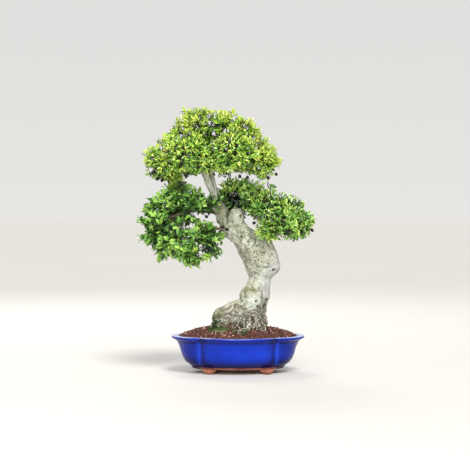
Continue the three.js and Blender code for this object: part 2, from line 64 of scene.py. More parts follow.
# Each row is (inset from the rim's outer edge, height).
GLAZE_OUTSIDE = [
    (47.0, 15.7), (46.3, 16.8), (43.4, 19.4), (36.2, 24.4), (29.4, 33), (23.9, 46), (18.5, 64), (12, 76),
    (5, 81.5), (1.6, 82.7), (0.5, 83.7), (0.0, 85.5), (0.15, 87.4), (1.0, 88.7), (2.4, 89.0), (7, 89.2),
    (11.4, 89.0), (13.2, 88.3), (14.4, 86.6), (16.6, 82.5), (19, 78),
]
CLAY_FOOT_RIM = [(60, 11), (51.2, 11.0), (50.2, 11.4), (49.5, 12.3), (48.6, 14.2), (47.6, 15.4)]
CLAY_INSIDE = [(19, 79), (28, 56), (34, 38), (52, 18)]
UNDERSIDE, POT_FLOOR = 11.0, 18.0
# The turned shapes of a cloud foot: each row is (radius, height).
FOOT_MIDDLE = [
    (0.5, 0), (6.6, 0), (8.2, 0.4), (9.8, 1.6), (11, 3.6), (11.6, 6), (11.2, 8.4), (9.6, 10.6), (9, 12.2),
    (0.5, 12.4),
]
FOOT_SIDE = [(0.5, 4.6), (3.0, 4.7), (4.8, 5.6), (6.2, 7.2), (6.7, 9), (6.2, 10.8), (5.8, 12.2), (0.5, 12.4)]

# Measures of the soil, the moss and the little roots
# The edge's inset from the rim's outer edge, its height, and how high the soil is heaped over it
SOIL_INSET, SOIL_RIM, SOIL_HEAP = 17.6, 86, 23
GRANULES_X, GRANULES_Y = 146, 98
# Each row is (inset from the rim's outer edge, height), up the pot's inside.
SOIL_BELOW = [(52.8, 18.6), (44, 26), (36, 40), (28.6, 60), (21.6, 79), (18.4, 84)]
# Places of the bed's rings between the pot's middle and the edge
SOIL_SHARES = (1, 0.985, 0.96, 0.93, 0.88, 0.82, 0.75, 0.67, 0.58, 0.48, 0.38, 0.28, 0.18, 0.08)
# Layers of granules: pitch, smallest and largest radius, lift over the bed, and share that is kept.
GRANULE_LAYERS = ((3.5, 1.3, 2.4, -0.2, 1.0), (5.6, 2.0, 3.0, 0.4, 0.75))
# Granules on the roots' flanks: how many are tried, and their span in x and in z.
FLANK_GRANULES, FLANK_X, FLANK_Z = 420, (-42, 12), (108, 123)
# Cushions of moss: x, y, z, reach, share of blades, tone.
MOSS = [
    (-61, -32, 123, 6, 1.0, 0.1), (-63, -36, 117, 8, 1.0, 0.15), (-60, -42, 112, 8, 1.0, 0.25),
    (-52, -46, 112, 9, 1.0, 0.3), (-43, -50, 110, 9, 1.0, 0.4), (-34, -54, 108, 9, 0.9, 0.55),
    (-26, -56, 106, 7, 0.8, 0.5), (-48, -52, 105, 8, 0.7, 0.75), (-36, -58, 104, 7, 0.6, 0.8),
    (2, -74, 103, 6, 1.0, 0.2), (8, -74, 103, 7, 1.0, 0.25), (15, -71, 104, 6, 0.9, 0.4),
    (-8, -70, 103, 5, 0.6, 0.45), (6, -62, 114, 6, 1.0, 0.2), (13, -60, 112, 6, 1.0, 0.3),
    (-6, -60, 112, 5, 0.8, 0.3), (-55, -40, 119, 7, 1.0, 0.12), (-47, -45, 117, 7, 1.0, 0.2),
    (-39, -50, 114, 7, 1.0, 0.3), (-24, 46, 108, 14, 0.7, 0.4), (44, 40, 110, 12, 0.7, 0.4),
    (-60, 30, 106, 12, 0.7, 0.4),
]

# The little roots: how many start in each region, its span in x and in z, and their size.
ROOT_STARTS = (
    (170, (6, 74), (106, 158), 1.0), (20, (-30, 10), (104, 120), 0.7), (16, (-18, 8), (154, 170), 0.75),
)
# Where rays towards the bark start in depth
RAY_START = -130

# Measures of the trunk
# Each row is (height, left edge, right edge, middle in depth, half depth).
TRUNK_LEVELS = np.array([
    (64, -66, 64, 2, 52), (94, -70, 70, 2, 57), (108, -64, 69, 1, 52), (124, -50, 67, 0, 46),
    (140, -28, 66, -1, 41), (155, 0, 66, -1, 36), (166, 3, 70, -1, 34), (179, 3, 75.5, -2, 33),
    (190, 5.5, 76, -3, 32), (203, 12.5, 77, -3, 29), (215, 23, 78.5, -2, 27), (225, 29, 80, 0, 26),
    (234, 26, 90, 1, 28), (243, 20, 98, 2, 31), (262, 13, 100, 3, 34), (281, 4.5, 96.5, 4, 36),
    (302, -7, 87, 4, 36), (318, -12, 80, 3, 34), (329, -15, 69, 2, 31), (337, -19, 47, 1, 27),
    (347, -24, 29, 0, 23), (356, -30, 17, 0, 17),
], float)
BODY_BOTTOM, BODY_TOP, BODY_RADIUS = 73, 356, 34.0
# Swellings of the body: x, y, z, reach and height.
BURLS = [
    (22, -34, 192, 17, 9), (34, -36, 171, 15, 8), (58, -30, 322, 17, 9), (92, -14, 255, 14, 5),
    (20, -34, 285, 16, 4), (40, 36, 288, 24, 11), (60, 32, 205, 17, 9), (-2, 30, 318, 16, 8),
    (18, 34, 152, 18, 9), (72, 14, 150, 14, 7),
]
# Holes of old branches, seen from the front: x, z, reach and depth.
HOLES = (
    (85.2, 246, 3.0, 6), (43.2, 173, 2.7, 4), (46, 160, 2.4, 3), (6.3, 375.5, 2.8, 4), (8, 327, 2.0, 2),
    (-43, 126, 2.4, 2.6), (-14, 362, 1.8, 2),
)
# Soft spots on the bark: each row is (weight, middle, reach, shares of the reach for each axis).
SPOTS = {
    "bare_waist": [(1, (80, -14, 236), 30, (1, 1.5, 1.3)), (1, (68, -26, 200), 19, (1, 1.3, 1.5))],
    "bare_flank": [(1, (98, -6, 284), 14, (1, 2, 2.4)), (0.6, (72, 22, 232), 30)],
    "raised_root": [(4.0, (-48, -28, 142), 9, (1.3, 1.6, 0.8)), (-3.0, (-48, -36, 130), 5, (2, 1.8, 0.6))],
    "tangle": [(1.5, (44, -40, 128), 29, (1.15, 1.6, 0.95)), (0.9, (4, -50, 114), 16, (1.5, 1.6, 0.7))],
    "speckle": [
        (0.6, (22, -34, 305), 44, (1, 1.6, 0.9)), (0.5, (46, -30, 268), 30), (0.4, (40, 36, 280), 50),
    ],
    "pale_root": [(1, (-43, -40, 127), 9, (1.4, 1.6, 0.8))],
    "pale_front": [(0.75, (-7, -16, 371), 12, (0.9, 2, 1.2)), (0.5, (69, -24, 158), 5, (0.5, 3, 2))],
    "pale": [(0.35, (62, -30, 232), 20), (0.6, (6, -40, 142), 11, (1.1, 1.6, 1))],
    "olive_knee": [(1, (24, -30, 200), 15, (1.2, 1.6, 0.6))],
    "olive": [
        (0.7, (-3, -14, 351), 9, (1.8, 1.8, 0.5)), (0.9, (-46, -24, 142), 15, (1.3, 1.5, 0.8)),
        (0.7, (-4, -26, 162), 13, (1.2, 1.5, 0.8)), (0.45, (-44, -12, 378), 14, (0.8, 1.6, 1.6)),
    ],
    # painted shade under the fork and the foliage, on the shoulder
    "algae_and_shade": [(0.9, (20, -30, 338), 17), (0.5, (30, -30, 300), 24)],
    "purple": [(0.95, (59, -36, 326), 14), (0.3, (82, -24, 262), 18)],
    "pink": [(0.9, (-18, -36, 139), 13, (1, 1.6, 1.3))],
    "green": [
        (1.1, (-52, -40, 105), 15, (1.6, 1.3, 0.7)), (1, (12, -62, 104), 13), (0.25, (30, 40, 110), 34),
    ],
    "brown": [(0.9, (-46, -20, 147), 16)],
    "brown_ridge": [(1, (-36, -22, 151), 14, (1.8, 2.0, 0.8))],
}
# Rows of (x, y, z, radius) along each limb.
LIMBS = [
    # the two heads, the left one with the leader
    [
        (6, -1, 318, 18), (-12, -1, 338, 20), (-28, -2, 356, 17), (-38, -3, 374, 15.5), (-40, -3, 390, 15),
        (-46, -3, 402, 12), (-53, -3, 418, 10.5), (-60, -2, 440, 11),
    ],
    [(6, 1, 336, 20), (-2, 1, 354, 19), (-5, 0, 372, 18.5), (-4, 0, 385, 16), (-4, 1, 393, 10)],
    # roots: left, front, right front, right back, back, left back
    [
        (30, -6, 158, 24), (0, -12, 149, 24.5), (-24, -15, 140, 23.5), (-38.5, -17, 135, 20.5),
        (-51, -19, 117, 14), (-64, -22, 95, 8),
    ],
    [(35, -14, 142, 24), (24, -36, 124, 20), (10, -54, 106, 15), (0, -68, 90, 9)],
    [(44, -12, 136, 21), (49, -30, 119, 15), (53, -40, 104, 11), (56, -46, 90, 7)],
    [(44, 8, 142, 20), (50, 22, 120, 15), (55, 36, 102, 11), (60, 46, 88, 7)],
    [(30, 16, 142, 24), (26, 40, 120, 19), (14, 58, 104, 13), (6, 70, 88, 8)],
    [(2, 14, 138, 22), (-32, 32, 119, 17), (-54, 44, 103, 12), (-68, 54, 88, 7)],
    # crown
    [
        (-57, -2, 432, 10.5), (-71, -4, 460, 10.5), (-84, -6, 488, 8), (-100, -6, 520, 5.6),
        (-114, -5, 552, 4.2),
    ],
    [
        (-54, -3, 430, 6.5), (-60, -4, 462, 5.6), (-65, -2, 482, 5.2), (-64, 4, 500, 5), (-66, 4, 532, 4.6),
        (-74, 2, 574, 3.6),
    ],
    [(-80, -6, 484, 6), (-118, -6, 499, 4.8), (-152, -5, 500, 3.6)],
    [(-59, 6, 492, 5), (-32, 4, 526, 4.4), (-4, 0, 550, 3.3)],
    [(-64, 5, 490, 5), (-20, 2, 503, 4.2), (40, 0, 507, 3.2)],
    [(-82, -6, 486, 5.6), (-96, -34, 500, 4.2), (-106, -62, 510, 3.2)],
    [(-59, 6, 494, 4.6), (-42, -26, 504, 4), (-26, -58, 512, 3.2)],
    [(-86, -6, 494, 5.4), (-98, 30, 506, 4.2), (-108, 60, 512, 3.2)],
    [(-60, 5, 500, 4.6), (-42, 32, 508, 4), (-24, 60, 514, 3.2)],
    # left branches
    [(-38, -2, 384, 8), (-62, -6, 394, 5), (-92, -10, 401, 4.4), (-118, -10, 408, 3.8)],
    [(-90, -10, 400, 5.4), (-132, -14, 384, 4.6), (-172, -15, 368, 3.6)],
    [(-66, -6, 394, 5.4), (-100, 22, 390, 4.4), (-128, 42, 384, 3.4)],
    [
        (-18, -5, 350, 8), (-38, -10, 347, 4), (-64, -18, 342, 3.7), (-100, -24, 337, 3.5),
        (-138, -28, 324, 3.2),
    ],
    [(-58, -16, 343, 5.4), (-66, -25, 333, 4), (-70, -31, 322, 3.2)],
    [(-96, -23, 337, 5), (-106, -31, 314, 3.8), (-109, -34, 292, 3)],
    # right and middle branches
    [(-2, 2, 380, 8), (12, 4, 389, 4.4), (32, 4, 391, 3.8), (56, 2, 394, 3.6), (82, 1, 397, 3.2)],
    [(46, 3, 393, 5.2), (76, -4, 378, 4.6), (128, -8, 361, 3.4)],
    [(30, 4, 391, 5), (48, -9, 373, 4), (74, -21, 354, 3.2)],
    [(38, 3, 392, 5), (62, 25, 386, 4.2), (84, 44, 380, 3.2)],
    [(-5, 6, 380, 8), (-3, 16, 399, 4.6), (0, 26, 420, 3.8)],
    [(-8, 10, 366, 12), (-10, 38, 381, 7), (-10, 62, 392, 4.8)],
]

# Measures of the foliage and the berries
# Each pad's middle, radii out to the leaf tips, and kind of leaf.
PADS = {
    "crown_top": ((-76, 0, 592), (76, 66, 46), "crown"),
    "crown_shoulder_left": ((-130, -4, 546), (55, 60, 41), "crown"),
    "crown_shoulder_right": ((6, -2, 558), (50, 60, 52), "crown"),
    "crown_end_left": ((-178, -5, 507), (48, 64, 47), "crown"),
    "crown_end_right": ((54, 0, 510), (44, 62, 47), "crown"),
    "crown_front_left": ((-112, -66, 524), (66, 58, 55), "crown"),
    "crown_front_right": ((-14, -64, 524), (65, 58, 53), "crown"),
    "crown_back_left": ((-112, 66, 524), (66, 58, 55), "crown"),
    "crown_back_right": ((-14, 66, 524), (65, 58, 53), "crown"),
    "left_upper": ((-130, -10, 408), (76, 55, 42), "left"),
    "left_outer": ((-194, -15, 358), (47, 55, 52), "left"),
    "left_middle": ((-126, -26, 352), (46, 46, 34), "left"),
    "left_lower": ((-156, -30, 311), (52, 50, 40), "left"),
    "left_hanging": ((-108, -36, 283), (34, 35, 32), "left"),
    "left_inner": ((-72, -33, 317), (37, 37, 36), "left"),
    "left_back": ((-142, 54, 374), (60, 45, 44), "left"),
    "right_middle": ((54, -6, 403), (38, 44, 34), "right"),
    "right_upper": ((104, 0, 399), (50, 50, 38), "right"),
    "right_outer": ((143, -8, 358), (46, 52, 48), "right"),
    "right_inner": ((84, -24, 351), (40, 38, 36), "right"),
    "right_back": ((98, 54, 374), (56, 43, 42), "right"),
    "middle_right": ((2, 26, 437), (52, 48, 36), "right"),
    "middle_back": ((-14, 76, 402), (56, 47, 40), "right"),
}
NAMES = list(PADS)
CENTRES, RADII = (np.array([pad[i] for pad in PADS.values()], float) for i in (0, 1))
MEANS = RADII.mean(1)
PAD_BLEND = 12.0
# How far leaf tips may reach from the frame's middle, in depth and along the pot.
REACH_Y, REACH_X = 122, 222
# Length of the leaves in each pair, from the tip down, as a share of a full leaf
PAIR_SIZES = (0.6, 0.9, 1.05, 1.0)
# A blade's cross rows: each is (place along the blade, share of its full width).
BLADE_SHAPES = {2: ((0.3, 0.92), (0.66, 0.88)), 3: ((0.18, 0.66), (0.46, 1.0), (0.76, 0.66))}
# The kinds of corner of a blade; ENDS is its root or tip.
ENDS, LEFT_EDGE, RIGHT_EDGE, RIB_ABOVE, RIB_BELOW = range(5)
# The kinds of leaf: spacing of shoots and of tufts, step between pairs, leaf length, width share, cross rows
# of a blade, upward pull of a shoot, tone, share of gold, and share of odd old leaves.
KINDS = {
    "crown": dict(
        spacing=9.5, tuft=28, step=4.5, length=12.2, width=0.39, rows=2, rise=0.3, tone=0.57, gold_and_sunlight=0.19,
        odd=0.014,
    ),
    "right": dict(
        spacing=11.4, tuft=30, step=5.0, length=13.6, width=0.43, rows=3, rise=0.16, tone=0.54, gold_and_sunlight=0.08,
        odd=0.004,
    ),
    "left": dict(
        spacing=13.6, tuft=37, step=6.2, length=18.0, width=0.46, rows=3, rise=0.16, tone=0.56, gold_and_sunlight=-0.05,
        odd=0.0,
    ),
}
# Colours of the leaves from the shade inside to the sunlit tips, and then of old leaves.
GREENS = {
    "crown": [(20, 44, 24), (44, 98, 34), (90, 158, 48), (141, 199, 56), (204, 230, 104)],
    "right": [(16, 38, 26), (34, 84, 38), (66, 136, 50), (114, 184, 70), (186, 226, 132)],
    "left": [(12, 32, 22), (24, 68, 34), (46, 114, 46), (84, 160, 60), (152, 208, 104)],
}
GOLDS = [(44, 62, 20), (96, 124, 32), (156, 184, 46), (202, 214, 62), (230, 234, 106)]
OLD_GREENS, OLD_GOLDS = [(216, 206, 96), (190, 156, 90)], [(226, 210, 94), (200, 166, 92)]
LEAF_GLOSS = {"crown": (0.25, 0.8), "right": (0.28, 0.7), "left": (0.3, 0.6)}
# Pads that are lighter or more golden than their kind; middle_right's lift is painted light against the
# crown's shade
TONE_SHIFT = {
    "left_hanging": 0.16, "left_lower": 0.1, "left_outer": 0.03, "middle_right": 0.2, "crown_top": 0.06,
    "crown_end_right": 0.12, "crown_shoulder_right": 0.05,
}
GOLD_SHIFT = {
    "left_hanging": 0.12, "left_lower": 0.08, "crown_top": 0.15, "crown_end_left": 0.08,
    "crown_end_right": 0.06,
}
# Radius of the tufts, droop of the stems, spacing of the twigs' hubs and the most that a pad has
TUFT_REACH, STEM_DROOP, HUB_SPACING, MOST_HUBS = 32, 260, 27, 26
# The dark hollow behind the heads, and shaded spots of the foliage, both given painted shade on leaves and
# twigs: each row is (weight, middle, reach).
CAVE = (-12, 0, 411)
SHADED = [
    (0.4, (-60, -20, 452), 24), (0.7, (102, -24, 366), 14), (0.6, (-182, -40, 356), 16),
    (0.6, (-66, -60, 505), 15),
]
# Stray shoots that stand out of the foliage's outline: x and z of each tip.
STRAYS = np.array([
    (-131, 628), (-146, 604), (-155, 580), (-178, 569), (-197, 549), (-219, 534), (-226, 505), (-219, 486),
    (-14, 626), (0, 608), (16, 609), (36, 604), (42, 597), (41, 583), (51, 578), (63, 563), (72, 554),
    (89, 538), (91, 526), (84, 518), (84, 495), (100, 514), (97, 503), (-229, 394), (-238, 362),
    (-238, 327), (-219, 310), (-190, 277), (-121, 266), (-112, 264), (-66, 282), (-39, 334), (-213, 410),
    (-168, 447), (-54, 290), (-43, 289), (-150, 478), (-144, 468), (-138, 474), (-156, 470), (-146, 459),
    (-190, 472), (-180, 468), (-172, 474), (-200, 482),
], float)
# Shoots at places of their own: x, y and z of the middle, and how many.
SPRAYS = np.array([
    (-58, -24, 416, 2), (-50, -27, 408, 2), (-42, -27, 402, 1), (4, -26, 403, 2), (16, -20, 400, 2),
    (26, -16, 394, 3), (34, -12, 428, 4), (44, -14, 420, 4), (56, -10, 428, 4), (40, -14, 408, 4),
    (52, -18, 404, 4), (66, -12, 432, 4), (60, -44, 321, 3), (72, -40, 317, 2), (52, -48, 330, 2),
    (-60, -62, 488, 4), (-44, -62, 486, 5), (-30, -62, 486, 5), (-74, -62, 490, 3), (-44, -10, 380, 1),
    (-150, -20, 470, 5), (-144, -20, 462, 5), (-138, -24, 474, 5), (-152, -24, 458, 4), (-134, -22, 464, 3),
    (-26, 8, 408, 5), (-16, 8, 403, 5), (-6, 8, 405, 5), (4, 10, 411, 4), (-20, 12, 417, 4),
    (-8, 12, 419, 3), (-94, -42, 358, 4), (-82, -44, 357, 4), (-70, -42, 354, 4), (-60, -42, 347, 3),
    (50, -14, 448, 2), (58, -14, 452, 1), (49, -32, 347, 3), (55, -36, 338, 3),
], float)
# Places where the background shows through the foliage: x, z and reach.
WINDOWS = np.array([
    (-137, 349, 9), (-127, 351, 11), (-114, 353, 11), (-103, 354, 6), (-115, 386, 7), (-104, 381, 9),
    (-93, 376, 9), (-80, 371, 12), (-64, 374, 11), (-84.2, 445, 9), (-134, 304, 7), (-170, 456, 6),
    (168, 398, 10), (-20, 428, 7), (-12, 428, 7), (-4, 426, 6), (-48, 306, 8), (-36, 316, 6), (-91, 283, 9),
    (-85, 293, 6), (96, 374, 5), (-176, 590, 16), (-200, 574, 15), (-161, 613, 12), (-148, 623, 9),
    (30, 624, 15), (50, 613, 13), (8, 633, 10), (64, 594, 9), (-22, 475, 8), (-9, 476, 9), (5, 475, 9),
    (19, 472, 8), (34, 470, 8), (-234, 344, 16), (-233, 381, 10), (-231, 413, 16), (-227, 292, 18),
    (-205, 273, 14), (-160, 266, 11), (74, 450, 10),
])
# How many small openings the crown has besides
CROWN_FLECKS = 46
# Ripe berries: x, y and z of each middle.
BERRIES = np.array([
    (-201, -52, 478), (-192, -30, 464), (-181, -34, 460), (-123, -86, 470), (-134, -84, 450),
    (91, -26, 475), (84, -8, 487), (72, -34, 466), (4, -88, 468), (22, -78, 466), (-75, -38, 374),
    (-37, -50, 350), (38, -46, 359), (60, -50, 411), (32, -44, 427), (178, -12, 341), (-160, -60, 349),
    (118, -50, 338), (-60, 90, 478), (-26.5, -52, 344), (-128, 90, 473), (60, 48, 468), (-122, 84, 356),
    (84, 82, 354), (-30, 100, 386),
], float)
# Outline of a berry from its calyx to its foot: each row is (radius, height).
BERRY = [
    (0.55, 4.05), (0.9, 4.5), (1.5, 4.5), (1.75, 3.65), (2.6, 3.05), (3.5, 1.8), (3.98, 0.2), (3.9, -1.4),
    (3.2, -2.7), (1.9, -3.7), (0.5, -4.15),
]

# Shared helpers


def srgb(r, g, b):
    """Linear colour from 0-255 display values."""
    c = np.array([r, g, b], float) / 255
    return tuple(np.where(c <= 0.04045, c / 12.92, ((c + 0.055) / 1.055) ** 2.4)) + (1.0,)


def unit(v):
    return v / np.maximum(np.linalg.norm(v, axis=-1, keepdims=True), 1e-9)


def clamp(value):
    return np.clip(value, 0, 1)


def bell(value, width, power=2):
    """1 where the value is 0, falling softly towards 0 past the width."""
    return np.exp(-((value / width) ** power))


def gauss(points, centre, reach, axes=(1.0, 1.0, 1.0)):
    """A soft spot round centre: 1 in its middle, with the reach times one share for each axis."""
    away = (points - np.array(centre, float)) / (np.array(axes, float) * reach)
    return np.exp(-(away**2).sum(-1))


def spots(points, rows):
    """The sum of soft spots, each given as (weight, centre, reach) or (weight, centre, reach, axes)."""
    return sum(weight * gauss(points, *spot) for weight, *spot in rows)


def field(points, scale, seed, stretch=(1, 1, 1)):
    """Smooth noise of about -1 to 1 at each point."""
    at = points * np.array(stretch, float) / scale + seed
    return np.array([noise.noise(Vector(p)) for p in at])


def patches(points, scale, seed):
    """The upper half of the smooth noise, made firmer."""
    return clamp(field(points, scale, seed) * 2)


def read(items, key, width, kind):
    """One property of all the vertices, edges, corners or faces of a mesh, as rows of the given width."""
    values = np.zeros(len(items) * width, kind)
    items.foreach_get(key, values)
    return values.reshape(-1, width)


def mesh_piece(
    name, points, faces, material, attributes=None, smooth=True, sharp=None, replaces=(),
):
    """A piece that rides on the root body. faces is a list of index arrays, each (n, 3) or (n, 4)."""
    mesh = bpy.data.meshes.new(name)
    faces = [np.asarray(f, np.int32) for f in faces]
    corners = np.concatenate([f.ravel() for f in faces])
    sizes = np.concatenate([np.full(len(f), f.shape[1], np.int32) for f in faces])
    starts = np.concatenate([[0], np.cumsum(sizes)[:-1]]).astype(np.int32)
    mesh.vertices.add(len(points))
    mesh.vertices.foreach_set("co", ((points + POT_MIDDLE) / 1000).astype(np.float32).ravel())
    mesh.loops.add(len(corners))
    mesh.loops.foreach_set("vertex_index", corners)
    mesh.polygons.add(len(sizes))
    mesh.polygons.foreach_set("loop_start", starts)
    mesh.update(calc_edges=True)
    mesh.validate()
    if smooth:
        mesh.shade_smooth()
    else:
        mesh.shade_flat()
    for key, values in (attributes or {}).items():
        mesh.attributes.new(key, "FLOAT", "POINT").data.foreach_set("value", np.asarray(values, np.float32))
    if sharp is not None:
        mark = mesh.attributes.new("sharp_edge", "BOOLEAN", "EDGE")
        mark.data.foreach_set("value", sharp(read(mesh.edges, "vertices", 2, np.int32)))
    mesh.materials.append(material)
    obj = bpy.data.objects.new(name, mesh)
    bpy.context.scene.collection.objects.link(obj)
    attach(obj, "root")
    if replaces:
        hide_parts(*replaces)
    return obj


def hermite(rows, at):
    """Values of a smooth curve through rows of [parameter, value, ...] at the given parameters."""
    rows = np.asarray(rows, float)
    t, v = rows[:, 0], rows[:, 1:]
    slope = np.gradient(v, t, axis=0)
    k = np.clip(np.searchsorted(t, at, side="right") - 1, 0, len(t) - 2)
    h = (t[k + 1] - t[k])[:, None]
    u = (at - t[k])[:, None] / h
    return (
        (2 * u**3 - 3 * u**2 + 1) * v[k] + (u**3 - 2 * u**2 + u) * h * slope[k]
        + (3 * u**2 - 2 * u**3) * v[k + 1] + (u**3 - u**2) * h * slope[k + 1]
    )


def steps_between(rows):
    return np.linalg.norm(np.diff(rows, axis=0), axis=1)


def along_path(path, count):
    """count rows of a smooth curve through the path's rows, evenly spread. Repeated rows are left out."""
    path = np.asarray(path, float)
    path = path[np.append(True, steps_between(path[:, :3]) > 0.01)]
    chord = np.append(0, np.cumsum(steps_between(path[:, :3])))
    return hermite(np.column_stack([chord, path]), np.linspace(0, chord[-1], count))


def full_turn(sides):
    """Angles of the corners of a ring."""
    return np.arange(sides) * 2 * math.pi / sides


def ring_faces(rings, count, closed=False):
    """Quads between rings of count points each."""
    i, k = np.meshgrid(np.arange(rings if closed else rings - 1), np.arange(count), indexing="ij")
    a = i * count + k
    b = i * count + (k + 1) % count
    up = ((i + 1) % rings) * count
    return np.stack([a, b, up + (k + 1) % count, up + k], -1).reshape(-1, 4).astype(np.int32)


def end_fans(rings, count):
    """Triangles from the first and the last ring to their two middle points, which follow the rings."""
    k = np.arange(count)
    beside = (k + 1) % count
    last = (rings - 1) * count
    return np.concatenate([
        np.stack([np.full(count, rings * count), beside, k], -1),
        np.stack([np.full(count, rings * count + 1), last + k, last + beside], -1),
    ])


def lathe(rows, sides, low, high):
    """Points and faces of a turned shape. low and high are the heights of its two middle points."""
    angle = full_turn(sides)
    across, along = np.cos(angle), np.sin(angle)
    rings = [np.column_stack([r * across, r * along, np.full(sides, float(z))]) for r, z in rows]
    points = np.concatenate(rings + [np.array([[0, 0, low], [0, 0, high]], float)])
    return points, [ring_faces(len(rows), sides), end_fans(len(rows), sides)]


def tubes(paths, radii, sides):
    """Closed round tubes along paths of shape (n, k, 3), with radii (n, k), and how many points each has."""
    n, k, _ = paths.shape
    tangent = unit(np.gradient(paths, axis=1))
    first = np.cross(tangent[:, 0], np.where(np.abs(tangent[:, :1, 2]) < 0.8, [[0.0, 0, 1]], [[1.0, 0, 0]]))
    normal = unit(first[:, None] - (first[:, None] * tangent).sum(-1, keepdims=True) * tangent)
    side = np.cross(tangent, normal)
    angle = full_turn(sides)
    around = normal[:, :, None] * np.cos(angle)[:, None] + side[:, :, None] * np.sin(angle)[:, None]
    rings = paths[:, :, None] + around * radii[:, :, None, None]
    points = np.concatenate([rings.reshape(n, k * sides, 3), paths[:, :1], paths[:, -1:]], 1)
    step = k * sides + 2
    base = (np.arange(n) * step)[:, None, None]
    faces = [(base + ring_faces(k, sides)).reshape(-1, 4), (base + end_fans(k, sides)).reshape(-1, 3)]
    return points.reshape(-1, 3), faces, step


def joined(parts):
    """One set of points and faces from several."""
    points, faces, count = [], [], 0
    for part_points, part_faces in parts:
        points.append(part_points)
        faces += [f + count for f in part_faces]
        count += len(part_points)
    return np.concatenate(points), faces


def remeshed(name, points, faces, voxel, smoothing):
    """Points, faces and normals of one skin round all the closed shapes given, by voxels."""
    mesh = bpy.data.meshes.new(name)
    corners = [tuple(int(i) for i in f) for group in faces for f in group]
    mesh.from_pydata(((points + POT_MIDDLE) / 1000).tolist(), [], corners)
    obj = bpy.data.objects.new(name, mesh)
    bpy.context.scene.collection.objects.link(obj)
    skin = obj.modifiers.new("skin", "REMESH")
    skin.mode, skin.voxel_size, skin.adaptivity = "VOXEL", voxel / 1000, 0.0
    soften = obj.modifiers.new("soften", "SMOOTH")
    soften.factor, soften.iterations = 0.5, smoothing
    made = bpy.data.meshes.new_from_object(obj.evaluated_get(bpy.context.evaluated_depsgraph_get()))
    bpy.data.objects.remove(obj)
    points = read(made.vertices, "co", 3, np.float32).astype(float) * 1000 - POT_MIDDLE
    normals = read(made.vertices, "normal", 3, np.float32).astype(float)
    loops = read(made.loops, "vertex_index", 1, np.int32).ravel()
    totals = read(made.polygons, "loop_total", 1, np.int32).ravel()
    starts = read(made.polygons, "loop_start", 1, np.int32)
    faces = [loops[starts[totals == size] + np.arange(size)] for size in (3, 4) if (totals == size).any()]
    bpy.data.meshes.remove(made)
    return points, faces, normals


# Materials


class Nodes:
    """A small layer over a material's node tree. Colours are 0-255 display values, and greys are shares."""

    def __init__(self, name):
        self.material = bpy.data.materials.new(name)
        self.material.use_nodes = True
        self.tree = self.material.node_tree
        self.shader = self.tree.nodes["Principled BSDF"]
        self.place = self.tree.nodes.new("ShaderNodeTexCoord").outputs["Object"]

    def set(self, **values):
        for key, value in values.items():
            self.shader.inputs[key.replace("_", " ")].default_value = value
        return self

    def feed(self, source, socket):
        """Puts a number, a colour or another node's output on a socket."""
        if isinstance(source, tuple):
            socket.default_value = srgb(*source)
        elif isinstance(source, (int, float)):
            socket.default_value = source
        else:
            self.tree.links.new(source, socket)

    def noise(self, scale, detail=3.0, roughness=0.55, distortion=0.0, stretch=None):
        node = self.tree.nodes.new("ShaderNodeTexNoise")
        settings = {"Scale": scale, "Detail": detail, "Roughness": roughness, "Distortion": distortion}
        for key, value in settings.items():
            node.inputs[key].default_value = value
        place = self.place
        if stretch:
            mapping = self.tree.nodes.new("ShaderNodeMapping")
            mapping.inputs["Scale"].default_value = stretch
            self.feed(place, mapping.inputs["Vector"])
            place = mapping.outputs["Vector"]
        self.feed(place, node.inputs["Vector"])
        return node.outputs["Fac"]

    def attribute(self, name):
        node = self.tree.nodes.new("ShaderNodeAttribute")
        node.attribute_name = name
        return node.outputs["Fac"]

    def ramp(self, source, *stops):
        node = self.tree.nodes.new("ShaderNodeValToRGB")
        ramp = node.color_ramp
        while len(ramp.elements) < len(stops):
            ramp.elements.new(0.5)
        for element, (place, colour) in zip(ramp.elements, stops):
            element.position = place
            element.color = srgb(*colour) if isinstance(colour, tuple) else (colour, colour, colour, 1)
        self.feed(source, node.inputs["Fac"])
        return node.outputs["Color"]

    def mix(self, factor, one, two):
        node = self.tree.nodes.new("ShaderNodeMix")
        node.data_type = "RGBA"
        for socket, value in zip((node.inputs[0], node.inputs[6], node.inputs[7]), (factor, one, two)):
            self.feed(value, socket)
        return node.outputs[2]

    def maths(self, kind, one, two, clamp=False):
        node = self.tree.nodes.new("ShaderNodeMath")
        node.operation = kind
        node.use_clamp = clamp
        self.feed(one, node.inputs[0])
        self.feed(two, node.inputs[1])
        return node.outputs[0]

    def colour(self, source):
        self.feed(source, self.shader.inputs["Base Color"])
        return self

    def rough(self, source, low, high):
        self.feed(self.ramp(source, (0.3, low), (0.7, high)), self.shader.inputs["Roughness"])
        return self

    def bump(self, source, strength, distance):
        node = self.tree.nodes.new("ShaderNodeBump")
        node.inputs["Strength"].default_value = strength
        node.inputs["Distance"].default_value = distance
        self.feed(source, node.inputs["Height"])
        self.feed(node.outputs["Normal"], self.shader.inputs["Normal"])
        return self


def glaze_material():
    m = Nodes("cobalt_glaze").set(Specular_IOR_Level=0.15, Coat_Weight=0.04, Coat_Roughness=0.1)
    cloud = m.ramp(m.noise(11, 4), (0.25, (14, 42, 154)), (0.55, (18, 54, 187)), (0.8, (24, 65, 203)))
    # glaze pooled dark, with painted shade in the same mask
    pooled_and_shaded = m.mix(m.attribute("pool_and_shade"), cloud, (8, 12, 78))
    # painted highlight beside the corners, not thin glaze
    broken = m.mix(m.attribute("corner_highlight"), pooled_and_shaded, (44, 84, 232))
    # worn glaze, and a painted highlight along the lip's top
    wear_and_highlight = m.mix(m.attribute("wear_and_highlight"), broken, (178, 186, 208))
    m.colour(wear_and_highlight).rough(m.noise(60, 2), 0.18, 0.3)
    return m.bump(m.noise(420, 2), 0.12, 0.0004).material


